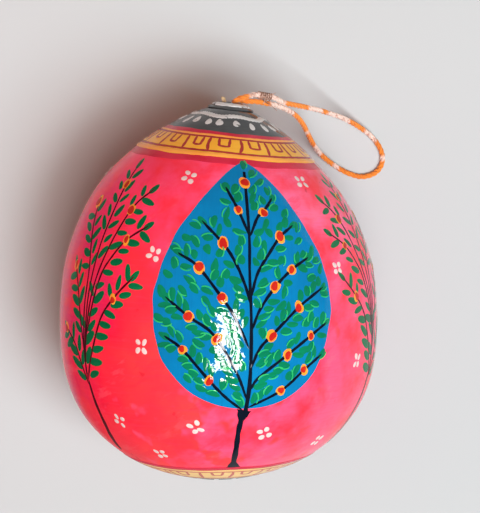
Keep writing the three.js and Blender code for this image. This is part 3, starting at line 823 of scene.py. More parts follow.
def way_at(points, share):
    line = smooth(points, LINE_STEPS)
    index = min(int(share * (len(line) - 1)), len(line) - 2)
    degree, slope = stretch_at(line[index, 1])
    step = line[index + 1] - line[index]
    return math.degrees(math.atan2(step[0] * degree, step[1] * slope))


def point_at(points, share):
    line = smooth(points, LINE_STEPS)
    angle, height = points_at(line, np.linspace(0, 1, len(line)), [share])[0]
    return float(angle), float(height)


def rooms(points, room):
    angle, height = np.transpose(points)
    return [(place, room) for place in on_nut(height, angle) / MM]


def is_free(place, taken):
    return all(np.linalg.norm(place - other) > room for other, room in taken)


def leaves_on(points, draw, taken, step, reach, splay, room_at, allowed=lambda angle, height: True):
    found = []
    spots, length = spaced_on_skin(points, step)
    for index, (angle, height) in enumerate(spots):
        way = way_at(points, (index + FIRST_LEAF) * step / length)
        for side in (-1, 1):
            turn = way + side * (splay + stray(draw, 18))
            sideways = math.radians(way + side * LEAF_ASIDE)
            out = reach * draw.uniform(0.85, 1.15)
            spot = step_on_skin(angle, height, out * math.sin(sideways), out * math.cos(sideways))
            place = on_nut(spot[1], spot[0]) / MM
            if allowed(*spot) and is_free(place, taken):
                taken.append((place, room_at(spot[1])))
                found.append((float(spot[0]), float(spot[1]), turn))
    return found


# %% Leaves of the tree
LEAF_LENGTH = 4.9
LEAF_WIDTH = 2.75
LEAF_ROOM = (2.75, 0.95)
# step from leaf to leaf, distance from the wood, and angle to it
BRANCH_LEAVES = (3.4, 2.9, 38)
STEM_LEAVES = (3.7, 3, 20)
LEAF_LIFT = COAT_LIFT + 0.06
FRUIT_ROOM = 3.6
BRANCH_ROOM = 1.9
BRANCH_STEP = 1.5
PANEL_MARGIN = 2
FILLING_TRIES = 600
FILLING_REACH = 5.5
TOP_FRUIT_SPOT = (10.4, 120.5)
TOP_LEAF = (10.2, 127.0, 0)


def leaf_room(height):
    return LEAF_ROOM[0] + LEAF_ROOM[1] * (height - LEAF_LOW) / (LEAF_HIGH - LEAF_LOW)


def on_panel(angle, height):
    heights = height + np.array([-PANEL_MARGIN, 0, PANEL_MARGIN])
    shares = np.clip((heights - LEAF_LOW) / (LEAF_HIGH - LEAF_LOW), 0, 1)
    degree, _ = stretch_at(height)
    aside = angle - LEAF_CENTRE
    return np.all(abs(aside) * degree < leaf_half_angle(shares, aside) * degree - PANEL_MARGIN)


draw = random.Random(23)
fruit_spots = [TOP_FRUIT_SPOT]
for points, shares in BRANCHES:
    fruit_spots += [point_at(points, share) for share in shares]
taken = rooms(fruit_spots, FRUIT_ROOM)
for points in [TREE_STEM, *[points for points, _ in BRANCHES]]:
    taken += rooms(spaced_on_skin(points, BRANCH_STEP)[0], BRANCH_ROOM)

leaf_spots = []
for points, _ in BRANCHES:
    leaf_spots += leaves_on(points, draw, taken, *BRANCH_LEAVES, leaf_room, on_panel)
    leaf_spots.append((*points[-1], way_at(points, 1.0)))
leaf_spots += leaves_on(TREE_STEM, draw, taken, *STEM_LEAVES, leaf_room, on_panel)
leaf_spots.append(TOP_LEAF)
for _ in range(FILLING_TRIES):
    share = draw.uniform(0.03, 0.93)
    side = stray(draw, 1)
    height = LEAF_LOW + share * (LEAF_HIGH - LEAF_LOW)
    angle = LEAF_CENTRE + side * float(leaf_half_angle(share, side))
    place = on_nut(height, angle) / MM
    nearest = min(np.linalg.norm(place - other) for other, _ in taken)
    if on_panel(angle, height) and nearest < FILLING_REACH and is_free(place, taken):
        taken.append((place, leaf_room(height)))
        leaf_spots.append((angle, height, 50 * side + stray(draw, 35)))
green = []
for angle, height, turn in leaf_spots:
    length = LEAF_LENGTH * draw.uniform(0.85, 1.15)
    width = LEAF_WIDTH * draw.uniform(0.76, 1.14)
    taper = stray(draw, 0.3)
    green.append(press(
        dab, angle, height, turn, length, width, LEAF_LIFT, rise=0.05, taper=taper, ragged=0.13))
tree_leaves = dabs("tree_leaves", green)
print("tree leaves:", len(leaf_spots))

# %% [markdown]
# A thin stroke of lighter green runs along one edge of most leaves, put on with the tip of the brush.
# It is a crescent: a small grid bent along half of the leaf's outline.

# %% Light edges of the leaves
LIT_LEAVES = 0.64
LIT_BELOW = 0.35
LIGHT_LIFT = COAT_LIFT + 0.07

crescent = flat_grid("crescent", columns=8, rows=2)
x, y, _ = corners_of(crescent)
turn = np.radians(8 + 56 * x)
radius = 0.98 - y * (0.05 + 0.09 * (1 - x**2))
bent = np.column_stack([radius * np.cos(turn), radius * np.sin(turn), 0.4 * (1 - y**2) + 0.7])
crescent.data.vertices.foreach_set("co", bent.astype(np.float32).ravel())
crescent.data.flip_normals()
draw = random.Random(31)
light = []
for angle, height, turn in leaf_spots:
    if draw.random() < LIT_LEAVES:
        way = turn + (180 if draw.random() < LIT_BELOW else 0)
        size = draw.uniform(0.9, 1.12)
        way += stray(draw, 20)
        length = LEAF_LENGTH * size
        width = LEAF_WIDTH * size * 1.1
        light.append(press(crescent, angle, height, way, length, width, LIGHT_LIFT, rise=0.06))
leaf_lights = strokes("tree_leaf_lights", light)
print("light edges:", len(light))

# %% [markdown]
# The fruit is a dab of yellow with a smaller red one pressed into its middle while it was wet, so the red
# never sits quite in the centre.

# %% Fruit
TOP_FRUIT = 5
TREE_FRUIT = 4
HEART_LIFT = 0.08


def fruit(name, spots, sizes, lift, draw):
    rings = []
    hearts = []
    for (angle, height), size in zip(spots, sizes):
        width = size * draw.uniform(0.85, 1.1)
        length = width * draw.uniform(1.08, 1.3)
        turn = stray(draw, 40)
        rings.append(press(
            dab, angle, height, turn, length, width, lift, rise=0.1, taper=stray(draw, 0.15), ragged=0.07))
        aside = step_on_skin(angle, height, stray(draw, 0.4), stray(draw, 0.4))
        share = draw.uniform(0.64, 0.8)
        hearts.append(press(
            dab, *aside, turn, length * share, width * share, lift + HEART_LIFT, rise=0.08,
            taper=stray(draw, 0.2), ragged=0.1))
    yellow = dabs(name + "_fruit_rings", rings)
    return yellow, dabs(name + "_fruit_hearts", hearts)


draw = random.Random(43)
fruit_sizes = [TOP_FRUIT] + [TREE_FRUIT] * (len(fruit_spots) - 1)
tree_fruit = fruit("tree", fruit_spots, fruit_sizes, COAT_LIFT + 0.08, draw)
print("fruit on the tree:", len(fruit_spots))

# %% [markdown]
# Beside the panel a slender spray climbs each flank: a thin dark stem that parts into long branches, with
# narrow leaves in pairs and a fruit near each tip. The right one is the left one mirrored about the panel.
# The back can't be seen, so it gets two more of the same.

# %% Sprays on the flanks
SPRAY_STEM = [(-6, 13.5), (-1.5, 20), (1, 26), (1, 34), (0.5, 43)]
SPRAY_STEM_WIDTHS = (2.8, 2.2, 1.4)
SPRAY_BRANCHES = [
    ([(0, 41), (-3, 49), (-7, 56.5), (-16, 62.5)], 0.97),
    ([(0, 43), (0, 57), (-5, 75.5), (-12, 86.5)], 0.97),
    ([(0.5, 45), (0.5, 70), (0, 87), (-9, 105), (-11.5, 108.5)], 0.97),
    ([(1, 50), (2.5, 74), (4, 89.5), (4.5, 105), (2, 123.5)], 0.9),
    ([(1.5, 55), (4.5, 75), (9.5, 91.5), (16, 108), (24, 115.5)], 0.74),
    ([(3, 62), (8.5, 82), (13, 90), (19, 97), (28, 102.5)], 0.74),
    ([(0.5, 43), (6.5, 56.5), (11.5, 68.5), (18, 76.5), (26, 84.5)], 0.72),
]
SPRAY_BRANCH_WIDTHS = (0.9, 0.8, 0.8)
SPRAY_LEAF = (5.5, 2.65)
SPRAY_LEAF_ROOM = 4.1
SPRAY_LEAVES = (5.6, 3.5, 48)
CROSSWISE = 0.25
# two heights, and the size of a leaf at each
SPRAY_LEAF_SHRINK = ((55, 95), (1.25, 0.95))
SPRAY_FRUIT = 3.9
SPRAY_FRUIT_LIFT = 0.1
SPRAY_ROOMS = {"branch": 1.3, "fruit": 2.6, "tip": 3.6}
SPRAY_PAIRS = (("", -57), ("back_", -135.5))


def spray(name, foot, way, draw):
    def turned(points):
        return [(foot + way * angle, height) for angle, height in points]

    def leaf(angle, height, turn, length, width):
        return press(
            dab, angle, height, turn, length, width, SKIN_LIFT, rise=0.06, taper=0.1, ragged=0.05)

    branches = [turned(points) for points, _ in SPRAY_BRANCHES]
    spots = [point_at(turned(points), share) for points, share in SPRAY_BRANCHES]
    wood = [brush_stroke("stem", turned(SPRAY_STEM), SPRAY_STEM_WIDTHS, SKIN_LIFT, rise=0.05)]
    taken = []
    for points in branches:
        wood.append(brush_stroke("branch", points, SPRAY_BRANCH_WIDTHS, SKIN_LIFT, rise=0.04, steps=10))
        taken += rooms(spaced_on_skin(points, BRANCH_STEP)[0], SPRAY_ROOMS["branch"])
    taken += rooms(spots, SPRAY_ROOMS["fruit"])
    taken += rooms([points[-1] for points in branches], SPRAY_ROOMS["tip"])
    leaves = []
    for points in branches:
        found = leaves_on(points, draw, taken, *SPRAY_LEAVES, lambda height: SPRAY_LEAF_ROOM)
        for angle, height, turn in found:
            size = draw.uniform(0.85, 1.15) * np.interp(height, *SPRAY_LEAF_SHRINK)
            length = SPRAY_LEAF[0] * size * (1 + CROSSWISE * abs(math.sin(math.radians(turn))))
            leaves.append(leaf(angle, height, turn, length, SPRAY_LEAF[1] * size))
        leaves.append(leaf(*points[-1], way_at(points, 1.0), *SPRAY_LEAF))
    stems = strokes(name + "_stems", wood, [name] if name in frame["nodes"] else ())
    leaf_piece = dabs(name + "_leaves", leaves)
    return stems, leaf_piece, *fruit(name, spots, [SPRAY_FRUIT] * len(spots), SPRAY_FRUIT_LIFT, draw)


draw = random.Random(61)
sprays = []
for where, foot in SPRAY_PAIRS:
    sprays.append(spray(where + "left_spray", foot, 1, draw))
    sprays.append(spray(where + "right_spray", 2 * LEAF_CENTRE - foot, -1, draw))
spray_stems, spray_leaves, spray_rings, spray_hearts = zip(*sprays)
print("sprays:", [stems.name for stems in spray_stems])

# %% [markdown]
# Small white flowers fill the open pink: four dots round a bare middle. Each flower is turned a little
# differently, and no two dots are quite alike. They are the last marks of the brush, so the dab and the
# crescent, which were only patterns, are removed afterwards.

# %% White flowers
FLOWERS = [
    (-17, 121), (-24, 93), (-27, 59), (-43, 28), (-8, 28), (-28, 15.5), (46, 122), (50, 88), (62, 50),
    (19, 25), (55, 18), (-96, 118), (-100, 92), (-98, 40), (-92, 17), (118, 120), (122, 92), (118, 44),
    (110, 18), (-168, 118), (-170, 88), (-169, 52), (-171, 24), (-116, 28), (136, 28),
]
FLOWER_DOTS = 4
DOT_REACH = 2.15

draw = random.Random(77)
dots = []
for angle, height in FLOWERS:
    tilt = stray(draw, 25)
    for dot in range(FLOWER_DOTS):
        way = tilt + 45 + 360 / FLOWER_DOTS * dot + stray(draw, 10)
        reach = DOT_REACH * draw.uniform(0.88, 1.12)
        aside = math.radians(way)
        spot = step_on_skin(angle, height, reach * math.sin(aside), reach * math.cos(aside))
        turn = way + stray(draw, 20)
        size = (draw.uniform(2.3, 2.9), draw.uniform(1.85, 2.35))
        dots.append(press(dab, *spot, turn, *size, SKIN_LIFT, rise=0.1, ragged=0.06))
flowers = dabs("white_flowers", dots)
print("flowers:", len(FLOWERS))
bpy.data.objects.remove(dab)
bpy.data.objects.remove(crescent)

# %% [markdown]
# The paint ends in three rings round the drilled hole: a slate neck, a white collar on top of it, and the
# dark painted tip inside the collar. Each starts as a circle, extruded ring by ring as one would do by
# hand, until it closes on itself. It is built upright at the origin and then grown onto the tip with the
# same rule as the paint.

# %% The collar and the painted tip
COLLAR_RADIUS = 9.3
COLLAR_BORE = 4.6
SPIGOT_RADIUS = 5.9
TIP_BORE = 3.5
COLLAR_WOBBLE = 0.4


def turned_ring(name, rings):
    radius, height = rings[0]
    piece = added(
        bpy.ops.mesh.primitive_circle_add, name, vertices=64, radius=radius, location=(0, 0, height))
    bpy.ops.object.transform_apply(location=True)
    bpy.ops.object.mode_set(mode="EDIT")
    bpy.ops.mesh.select_all(action="SELECT")
    for next_radius, next_height in [*rings[1:], rings[0]]:
        bpy.ops.mesh.extrude_edges_move(TRANSFORM_OT_translate={"value": (0, 0, next_height - height)})
        bpy.ops.transform.resize(value=(next_radius / radius, next_radius / radius, 1))
        radius, height = next_radius, next_height
    bpy.ops.mesh.select_all(action="SELECT")
    bpy.ops.mesh.remove_doubles(threshold=0.001)
    bpy.ops.mesh.normals_make_consistent(inside=False)
    bpy.ops.object.mode_set(mode="OBJECT")
    return piece


def onto_tip(piece, nodes=(), wobble=0.0):
    x, y, z = corners_of(piece)
    angle = np.arctan2(x, -y)
    radius = np.hypot(x, y) * ridged(angle) + wander(np.degrees(angle), start=6, size=wobble)
    move_to(piece, in_world(round_the_axis(radius, z, angle)), radius, z)
    bpy.ops.object.shade_smooth_by_angle(angle=math.radians(40))
    return claim(piece, nodes)


neck = turned_ring("slate_neck", [
    (SPIGOT_RADIUS, neck_height + 0.2), (COLLAR_RADIUS - 0.4, neck_height + 0.1),
    (COLLAR_RADIUS, neck_height + 0.4), (COLLAR_RADIUS - 0.5, neck_height + 0.9),
    (SPIGOT_RADIUS + 1.3, neck_height + 1.6), (SPIGOT_RADIUS, neck_height + 1.7),
])
onto_tip(neck, ["neck_collar"])
collar = turned_ring("white_collar", [
    (SPIGOT_RADIUS, neck_height + 1.4), (SPIGOT_RADIUS + 1.5, neck_height + 1.3),
    (SPIGOT_RADIUS + 1.7, neck_height + 1.75), (SPIGOT_RADIUS + 0.9, neck_height + 2.25),
    (SPIGOT_RADIUS, TIP_HEIGHT + 0.15), (COLLAR_BORE, TIP_HEIGHT + 0.25),
    (COLLAR_BORE, TIP_HEIGHT + 0.05), (SPIGOT_RADIUS - 0.2, TIP_HEIGHT + 0.04),
])
onto_tip(collar, ["neck_collar"], COLLAR_WOBBLE)
tip = turned_ring("painted_tip", [
    (TIP_BORE, TIP_HEIGHT + 0.05), (COLLAR_BORE + 0.2, TIP_HEIGHT + 0.05),
    (COLLAR_BORE + 0.2, TIP_HEIGHT + 0.3), (COLLAR_BORE - 0.5, TIP_HEIGHT + 0.5),
    (TIP_BORE + 0.2, TIP_HEIGHT + 0.45),
])
onto_tip(tip)
print("collar:", len(collar.data.polygons), "faces, tip:", len(tip.data.polygons), "faces")

# %% [markdown]
# A small wooden peg is pushed into the hole beside the cord and holds it. It is a thin bar: a cube scaled,
# bevelled and subdivided, and then pinched and bent at its outer end, so that it looks broken off and not
# machined.

# %% The peg
PEG_WIDTH = 3.2
PEG_THICKNESS = 1.6
PEG_LENGTH = 16.3
PEG_PROUD = 1.9
PEG_ACROSS = -1.35
PEG_BENT = 3
PEG_BEND = 2.3

peg = added(bpy.ops.mesh.primitive_cube_add, "cord_wedge", size=1)
bpy.ops.transform.resize(value=(PEG_THICKNESS, PEG_WIDTH, PEG_LENGTH))
bpy.ops.object.transform_apply(scale=True)
bpy.ops.object.mode_set(mode="EDIT")
bpy.ops.mesh.select_all(action="SELECT")
bpy.ops.mesh.bevel(offset=0.3, segments=2, affect="EDGES")
bpy.ops.mesh.subdivide(number_cuts=3)
bpy.ops.object.mode_set(mode="OBJECT")
# towards its outer end the bar gets thinner, bends and ends unevenly
x, y, z = corners_of(peg)
end = np.clip((z - PEG_LENGTH / 2 + PEG_BENT) / PEG_BENT, 0, 1)
x = x * (1 - 0.2 * end) + 0.12 * np.sin(z * 1.7 + y) - PEG_BEND * end**1.4
y = y * (1 - 0.15 * end) + 0.1 * np.sin(z * 2.3)
z = z + end * 0.5 * np.sin(y * 2.2 + x * 1.3)
peg_centre = mouth + (tip_axis * (PEG_PROUD - PEG_LENGTH / 2) + tip_right * PEG_ACROSS) * MM
peg_axes = np.array([tip_right, -out_front, tip_axis])
move_to(peg, np.array(peg_centre) + np.column_stack([x, y, z]) * MM @ peg_axes, z, x)
bpy.ops.object.shade_smooth_by_angle(angle=math.radians(35))
claim(peg, ["cord_peg"])
print("peg:", len(peg.data.polygons), "faces")

# %% [markdown]
# Paint needs more than one colour. A shared node group mixes three shades of a paint: soft patches where
# coats overlap, and fine streaks along the way of the brush. It also puts out a height for bumps and a
# roughness, so that varnish lies unevenly. Each paint uses the group with its own colours. One helper adds
# any node and fills its inputs, with a link where it is given another node's output and a value otherwise.

# %% Colour and node helpers
def srgb(red, green, blue):
    def linear(value):
        value = value / 255
        return value / 12.92 if value <= 0.04045 else ((value + 0.055) / 1.055) ** 2.4

    return (linear(red), linear(green), linear(blue), 1)


def add_node(tree, kind, inputs, **settings):
    node = tree.nodes.new(kind)
    for key, value in settings.items():
        setattr(node, key, value)
    for socket, value in inputs.items():
        if isinstance(value, bpy.types.NodeSocket):
            tree.links.new(value, node.inputs[socket])
        else:
            node.inputs[socket].default_value = value
    return node


def noise(tree, place, scale, detail, rough=0.5):
    settings = {"Vector": place, "Scale": scale, "Detail": detail, "Roughness": rough}
    return add_node(tree, "ShaderNodeTexNoise", settings).outputs["Fac"]


def ranged(tree, value, low, high, to_low=0.0, to_high=1.0):
    span = {"Value": value, "From Min": low, "From Max": high, "To Min": to_low, "To Max": to_high}
    return add_node(tree, "ShaderNodeMapRange", span).outputs["Result"]


def mixed(tree, share, first, second):
    shades = [srgb(*shade) if isinstance(shade, tuple) else shade for shade in (first, second)]
    ends = {"Factor": share, "A": shades[0], "B": shades[1]}
    return add_node(tree, "ShaderNodeMix", ends, data_type="RGBA").outputs["Result"]


def bump(tree, height, strength, depth):
    relief = {"Height": height, "Strength": strength, "Distance": depth * MM}
    return add_node(tree, "ShaderNodeBump", relief).outputs["Normal"]


# %% The brushed paint group
def brushed_paint_group():
    group = bpy.data.node_groups.new("brushed_paint", "ShaderNodeTree")
    for way, kind, names in (
        ("INPUT", "NodeSocketVector", ("Place", "Brush")),
        ("INPUT", "NodeSocketColor", ("Colour", "Patch", "Streak")),
        ("OUTPUT", "NodeSocketColor", ("Colour",)),
        ("OUTPUT", "NodeSocketFloat", ("Roughness", "Height")),
    ):
        for name in names:
            group.interface.new_socket(name, in_out=way, socket_type=kind)
    given = add_node(group, "NodeGroupInput", {}).outputs
    patches = noise(group, given["Place"], 58, 4, 0.55)
    drops = noise(group, given["Place"], 330, 1)
    drawn_out = add_node(group, "ShaderNodeMapping", {"Vector": given["Brush"], "Scale": (60, 900, 1)})
    streaks = noise(group, drawn_out.outputs["Vector"], 1, 3, 0.6)
    coat = mixed(group, ranged(group, patches, 0.42, 0.66), given["Colour"], given["Patch"])
    colour = mixed(group, ranged(group, streaks, 0.5, 0.8, 0, 0.5), coat, given["Streak"])
    roughness = ranged(group, streaks, 0.3, 0.8, 0.02, 0.06)
    add_node(group, "NodeGroupOutput", {"Colour": colour, "Roughness": roughness, "Height": drops})
    return group


paint_group = brushed_paint_group()
print("group sockets:", [item.name for item in paint_group.interface.items_tree])

# %% [markdown]
# A paint is the group with three colours, in a glossy shader, because the whole nut was varnished. The
# varnish is a clear coat: thin on the left flank, fuller towards the right and full low on the sides.
# The blue and the greens of the panel have their gloss in the paint itself, all over. The bump is small, a
# fraction of a millimetre, just enough to break up the reflection of a window.

# %% Paint materials
VARNISH_IOR = 1.36
VARNISH_ROUGHNESS = 0.06
# from and to which place in metres, and the weight of the coat at each
VARNISH_ACROSS = (-0.045, 0.03, 0.12, 0.8)
VARNISH_AT_RIM = (0.066, 0.088, 1, 0)


def new_material(name):
    material = bpy.data.materials.new(name)
    material.use_nodes = True
    material.node_tree.nodes.clear()
    place = add_node(material.node_tree, "ShaderNodeTexCoord", {}).outputs["Object"]
    return material, material.node_tree, place


def shaded(tree, finish):
    shader = add_node(tree, "ShaderNodeBsdfPrincipled", finish)
    add_node(tree, "ShaderNodeOutputMaterial", {"Surface": shader.outputs["BSDF"]})


def varnish(tree, place):
    split = add_node(tree, "ShaderNodeSeparateXYZ", {"Vector": place}).outputs
    across = ranged(tree, split["X"], *VARNISH_ACROSS)
    at_rim = ranged(tree, split["Z"], *VARNISH_AT_RIM)
    weight = add_node(tree, "ShaderNodeMath", {0: across, 1: at_rim}, operation="MAXIMUM")
    return {
        "Coat Weight": weight.outputs["Value"], "Coat IOR": VARNISH_IOR,
        "Coat Roughness": VARNISH_ROUGHNESS, "Specular IOR Level": 0,
    }


def paint(name, colour, patch, streak, varnished=True, wear=None):
    material, tree, place = new_material(name)
    brush = add_node(tree, "ShaderNodeUVMap", {}, uv_map="brush").outputs["UV"]
    shades = {
        "Colour": colour(tree, place) if callable(colour) else srgb(*colour),
        "Patch": srgb(*patch), "Streak": srgb(*streak), "Place": place, "Brush": brush,
    }
    marks = add_node(tree, "ShaderNodeGroup", shades, node_tree=paint_group).outputs
    shaded(tree, {
        "Base Color": wear(tree, place, marks["Colour"]) if wear else marks["Colour"],
        "Roughness": marks["Roughness"], "Normal": bump(tree, marks["Height"], 0.5, 0.18),
        "IOR": VARNISH_IOR, **(varnish(tree, place) if varnished else {}),
    })
    return material


def dress(material, *pieces):
    for piece in pieces:
        piece.data.materials.clear()
        piece.data.materials.append(material)


# %% [markdown]
# The pink was brushed on in several mixes: deep rose at the left edge, then red, coral and a cooler pink
# towards the right and the top. The cooler, paler pink on the right is also painted light: it stands for
# the cool light and the sheen that fall on the right flank. Each mix takes over along a slanting line,
# which a noise makes ragged.
# Slanted dashes and a few dark smudges lie on top. The white of the tip is rubbed through in spots.

# %% The pink ground with its painted light, and the wear
def ragged_line(tree, place, rag, right, along, spread):
    lean = add_node(tree, "ShaderNodeVectorMath", {0: place, 1: (right, along, 0)}, operation="DOT_PRODUCT")
    sums = {0: rag, 1: spread, 2: lean.outputs["Value"]}
    return add_node(tree, "ShaderNodeMath", sums, operation="MULTIPLY_ADD").outputs["Value"]


def pink_ground_and_light(tree, place):
    fields = noise(tree, place, 26, 3, 0.55)
    patches = noise(tree, place, 95, 2)
    slant = {"Vector": place, "Rotation": (0, 0, 0.6), "Scale": (0.02, 0.006, 0.02)}
    slanted = add_node(tree, "ShaderNodeMapping", slant, vector_type="TEXTURE").outputs["Vector"]
    dashes = noise(tree, slanted, 1, 4, 0.6)
    from_left = ragged_line(tree, place, fields, 1, -0.15, 0.05)
    # towards the right the pink turns paler and cooler: partly paint, partly painted light for the cool
    # light and sheen on that flank
    to_lit_pink = ranged(tree, ragged_line(tree, place, patches, 1, -0.5, 0.18), 0.1, 0.118)
    to_lit_right_side = ranged(tree, ragged_line(tree, place, fields, 1, 0, 0.03), -0.015, 0.035)
    to_high = ranged(tree, ragged_line(tree, place, patches, 0, 1, 0.06), 0.042, 0.068)
    coral = mixed(tree, ranged(tree, from_left, -0.012, 0.006), (255, 28, 68), (255, 66, 70))
    low = mixed(tree, to_lit_pink, coral, (255, 84, 126))
    high = mixed(tree, to_lit_right_side, (255, 62, 112), (255, 108, 152))
    bright = mixed(tree, to_high, low, high)
    ground = mixed(tree, ranged(tree, from_left, -0.03, -0.012), (226, 40, 106), bright)
    dark = mixed(tree, ranged(tree, dashes, 0.56, 0.62, 0, 0.3), ground, (238, 30, 66))
    return mixed(tree, ranged(tree, dashes, 0.36, 0.42, 0.2, 0), dark, (255, 120, 140))


def smudges(tree, place, colour):
    share = ranged(tree, noise(tree, place, 150, 3, 0.6), 0.69, 0.73, 0, 0.5)
    return mixed(tree, share, colour, (200, 24, 48))


def rubbed_spots(tree, place, colour):
    share = ranged(tree, noise(tree, place, 420, 2), 0.6, 0.66, 0, 0.85)
    return mixed(tree, share, colour, (72, 77, 81))


# %% Every paint on its pieces
dress(paint("coral_pink", pink_ground_and_light, (254, 52, 70), (255, 60, 88), wear=smudges), skin)
dress(paint("sky_blue", (0, 119, 176), (0, 127, 186), (0, 108, 166), varnished=False), panel)
dress(paint("night_blue", (6, 18, 34), (10, 26, 42), (2, 10, 20)), tree_wood)
dress(paint("leaf_green", (0, 120, 84), (0, 132, 90), (0, 104, 70), varnished=False), tree_leaves)
dress(paint("light_green", (38, 182, 104), (54, 194, 112), (22, 168, 94), varnished=False), leaf_lights)
dress(paint("slate", (72, 77, 80), (86, 90, 92), (56, 60, 64)), base, cap, neck, tip)
dress(paint("chrome_yellow", (248, 182, 52), (252, 194, 70), (242, 164, 42)), upper_band)
dress(paint("washed_yellow", (240, 200, 124), (246, 210, 144), (230, 184, 104)), lower_band)
dress(paint("warm_yellow", (255, 172, 72), (255, 184, 86), (250, 156, 58)), yellow_lines)
dress(paint("deep_red", (204, 36, 62), (216, 50, 78), (186, 28, 50)), *red_lines)
dress(paint("fret_red", (168, 46, 48), (182, 58, 54), (146, 34, 40)), upper_fret)
dress(paint("washed_red", (196, 104, 88), (208, 122, 100), (180, 88, 78)), lower_fret)
worn_white = paint("worn_white", (226, 228, 228), (214, 218, 220), (238, 238, 236), wear=rubbed_spots)
dress(worn_white, cap_petals, base_petals, cap_wave, collar)
dress(paint("petal_white", (230, 212, 210), (224, 200, 200), (238, 224, 220)), flowers)
dress(paint("spray_green", (6, 104, 62), (10, 116, 70), (2, 90, 52)), *spray_leaves)
dress(paint("maroon", (62, 8, 22), (78, 12, 26), (46, 4, 14)), *spray_stems)
dress(paint("fruit_yellow", (240, 152, 46), (246, 168, 62), (230, 130, 36)), tree_fruit[0], *spray_rings)
dress(paint("fruit_red", (186, 34, 28), (202, 50, 34), (158, 24, 26)), tree_fruit[1], *spray_hearts)
print("paints:", len([m for m in bpy.data.materials if m.users]))

# %% [markdown]
# The cord was dyed unevenly: orange, with pale stretches where the dye didn't take. The number that the
# strands carry drives that change, so the pale stretches stay where they are along the cord.
# A fine noise in the bump stands for the fibres. Thread and peg share a simpler finish, a grain of two
# tones that can be drawn out along one direction.

# %% Cord, thread and peg materials
def cord_material():
    material, tree, place = new_material("dyed_cotton")
    dye = add_node(tree, "ShaderNodeAttribute", {}, attribute_name="pale").outputs["Fac"]
    fibres = noise(tree, place, 700, 3, 0.6)
    blotches = noise(tree, place, 260, 2)
    orange = mixed(tree, ranged(tree, blotches, 0.5, 0.72, 0, 0.65), (228, 130, 22), (200, 98, 16))
    bare = mixed(tree, ranged(tree, fibres, 0.5, 0.64, 0, 0.7), (232, 206, 194), (172, 108, 80))
    shaded(tree, {
        "Base Color": mixed(tree, dye, orange, bare), "Roughness": 0.85, "Sheen Weight": 0.3,
        "Normal": bump(tree, fibres, 0.7, 0.25),
    })
    return material


def grown_material(name, dark, light, scale, stretch, roughness, relief):
    material, tree, place = new_material(name)
    drawn_out = add_node(tree, "ShaderNodeMapping", {"Vector": place, "Scale": stretch}).outputs["Vector"]
    grain = noise(tree, drawn_out, scale, 5, 0.6)
    shaded(tree, {
        "Base Color": mixed(tree, ranged(tree, grain, 0.35, 0.68), dark, light),
        "Roughness": roughness, "Normal": bump(tree, grain, 0.6, relief),
    })
    return material


EVEN = (1, 1, 1)
brown_thread = grown_material("brown_thread", (112, 74, 56), (214, 172, 152), 800, EVEN, 0.9, 0.1)
split_wood = grown_material("split_wood", (196, 168, 120), (236, 216, 176), 500, (1, 0.15, 1), 0.75, 0.15)
dress(cord_material(), cord)
dress(brown_thread, binding, *tails)
dress(split_wood, peg)
print("pale stretches in the cord:", len(PALE_STRETCHES))

# %% [markdown]
# Under the paint the frame's own solids stay: the chalk ground, the shell with its eyes, the husk at the
# tip and the dried kernel. They are hidden here, but the part is whole, so each gets the finish that it has
# on a bench: powdery, woody or fibrous.

# %% The pieces inside
# for each solid: name of its finish, dark and light tone, scale and stretch of the grain, roughness, relief
INSIDE = {
    "chalk_ground": ("chalk_ground", (226, 220, 206), (244, 241, 232), 300, EVEN, 0.95, 0.1),
    "coconut_shell": ("coconut_shell", (58, 36, 22), (128, 90, 58), 240, (1, 0.12, 1), 0.7, 0.3),
    "eye_plug": ("eye_plug", (142, 106, 66), (196, 160, 112), 400, (1, 0.3, 1), 0.85, 0.2),
    "husk_tuft": ("husk_fibre", (104, 74, 44), (176, 136, 88), 600, (1, 0.06, 1), 0.95, 0.5),
    "kernel": ("dried_kernel", (214, 198, 160), (240, 230, 204), 200, EVEN, 0.7, 0.2),
}
for node, finish in INSIDE.items():
    dress(grown_material(*finish), frame["nodes"][node])
print("pieces inside:", list(INSIDE))

# %% [markdown]
# The nut lies on a plain pale floor. The floor is only a stage and no part of the object. One large plane
# is enough, because its far edge lies outside every view.

# %% Floor and world
FLOOR_COLOUR = (186, 194, 197)
ROOM_COLOUR = (250, 208, 184)
ROOM_LIGHT = 0.25

floor = added(bpy.ops.mesh.primitive_plane_add, "floor", size=30)
floor_white, tree, _ = new_material("floor_white")
shaded(tree, {"Base Color": srgb(*FLOOR_COLOUR), "Roughness": 0.8})
dress(floor_white, floor)

world = bpy.data.worlds.new("pale_room")
bpy.context.scene.world = world
world.use_nodes = True
background = world.node_tree.nodes["Background"]
background.inputs["Color"].default_value = srgb(*ROOM_COLOUR)
background.inputs["Strength"].default_value = ROOM_LIGHT
bpy.context.scene.view_settings.view_transform = "Standard"
print("floor and world are plain and pale")

# %% [markdown]
# A window behind the camera shows as one broken highlight on the varnish. Where it has to stand follows
# from the law of reflection: at the spot where the highlight is wanted, the way to the camera is mirrored
# about the surface. Six small lamps stand for its panes and light the varnish alone, because one big lamp
# would give a single plain patch. Three broad lamps give the soft light and leave the varnish alone: one
# where the window is, a cool one on the right, so that the shadow falls to the left, and a weak warm one on
# the left, for the light that the shaded flank gets back from the room.

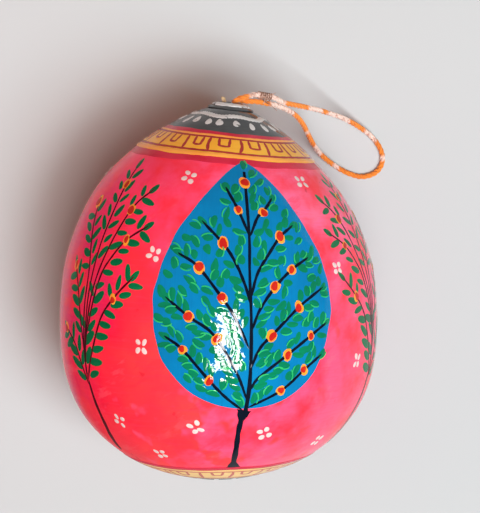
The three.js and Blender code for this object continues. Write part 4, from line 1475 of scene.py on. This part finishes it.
# %% Lamps
GLINT_HEIGHT = 58.7
GLINT_ANGLE = 3.7
WINDOW_DISTANCE = 1.2
PANE_SIZE = (0.2, 0.15)
PANE_STEP = (0.28, 0.2)
PANE_POWER = 5.5
WINDOW_SIZE = (0.5, 0.6)
WINDOW_POWER = 9.5
WINDOW_TINT = (1, 0.86, 0.82)
KEY_WAY = to_right * 0.35 - image_up * 0.36 + towards_camera * 0.85
KEY_DISTANCE = 1.7
KEY_SIZE = (0.8, 0.8)
KEY_POWER = 24
KEY_TINT = (0.86, 0.97, 1)
FILL_WAY = towards_camera * 0.24 - to_right * 0.42 + image_up * 0.1
FILL_SIZE = (0.4, 0.4)
FILL_POWER = 0.6
FILL_TINT = (1, 0.48, 0.42)


def area_lamp(name, place, size, power, colour, gloss=False):
    lamp = added(bpy.ops.object.light_add, name, type="AREA", location=place)
    lamp.data.shape = "RECTANGLE"
    lamp.data.size, lamp.data.size_y = size
    lamp.data.energy = power
    lamp.data.color = colour
    lamp.rotation_euler = (aim - Vector(place)).to_track_quat("-Z", "Y").to_euler()
    lamp.visible_diffuse = not gloss
    lamp.visible_glossy = gloss


glint = Vector(on_nut(GLINT_HEIGHT, GLINT_ANGLE))
outward = (Vector(on_nut(GLINT_HEIGHT, GLINT_ANGLE, 1)) - glint).normalized()
to_camera = (camera_place - glint).normalized()
window_way = 2 * outward.dot(to_camera) * outward - to_camera
window_up = window_way.cross(to_right).normalized()
window_place = glint + window_way * WINDOW_DISTANCE
for row in (-1, 0, 1):
    for column in (-0.5, 0.5):
        shift = to_right * column * PANE_STEP[0] + window_up * row * PANE_STEP[1]
        area_lamp("window_pane", window_place + shift, PANE_SIZE, PANE_POWER, (1, 1, 1), gloss=True)
area_lamp("window_light", window_place, WINDOW_SIZE, WINDOW_POWER, WINDOW_TINT)
area_lamp("soft_key", aim + KEY_WAY.normalized() * KEY_DISTANCE, KEY_SIZE, KEY_POWER, KEY_TINT)
area_lamp("warm_fill", aim + FILL_WAY, FILL_SIZE, FILL_POWER, FILL_TINT)
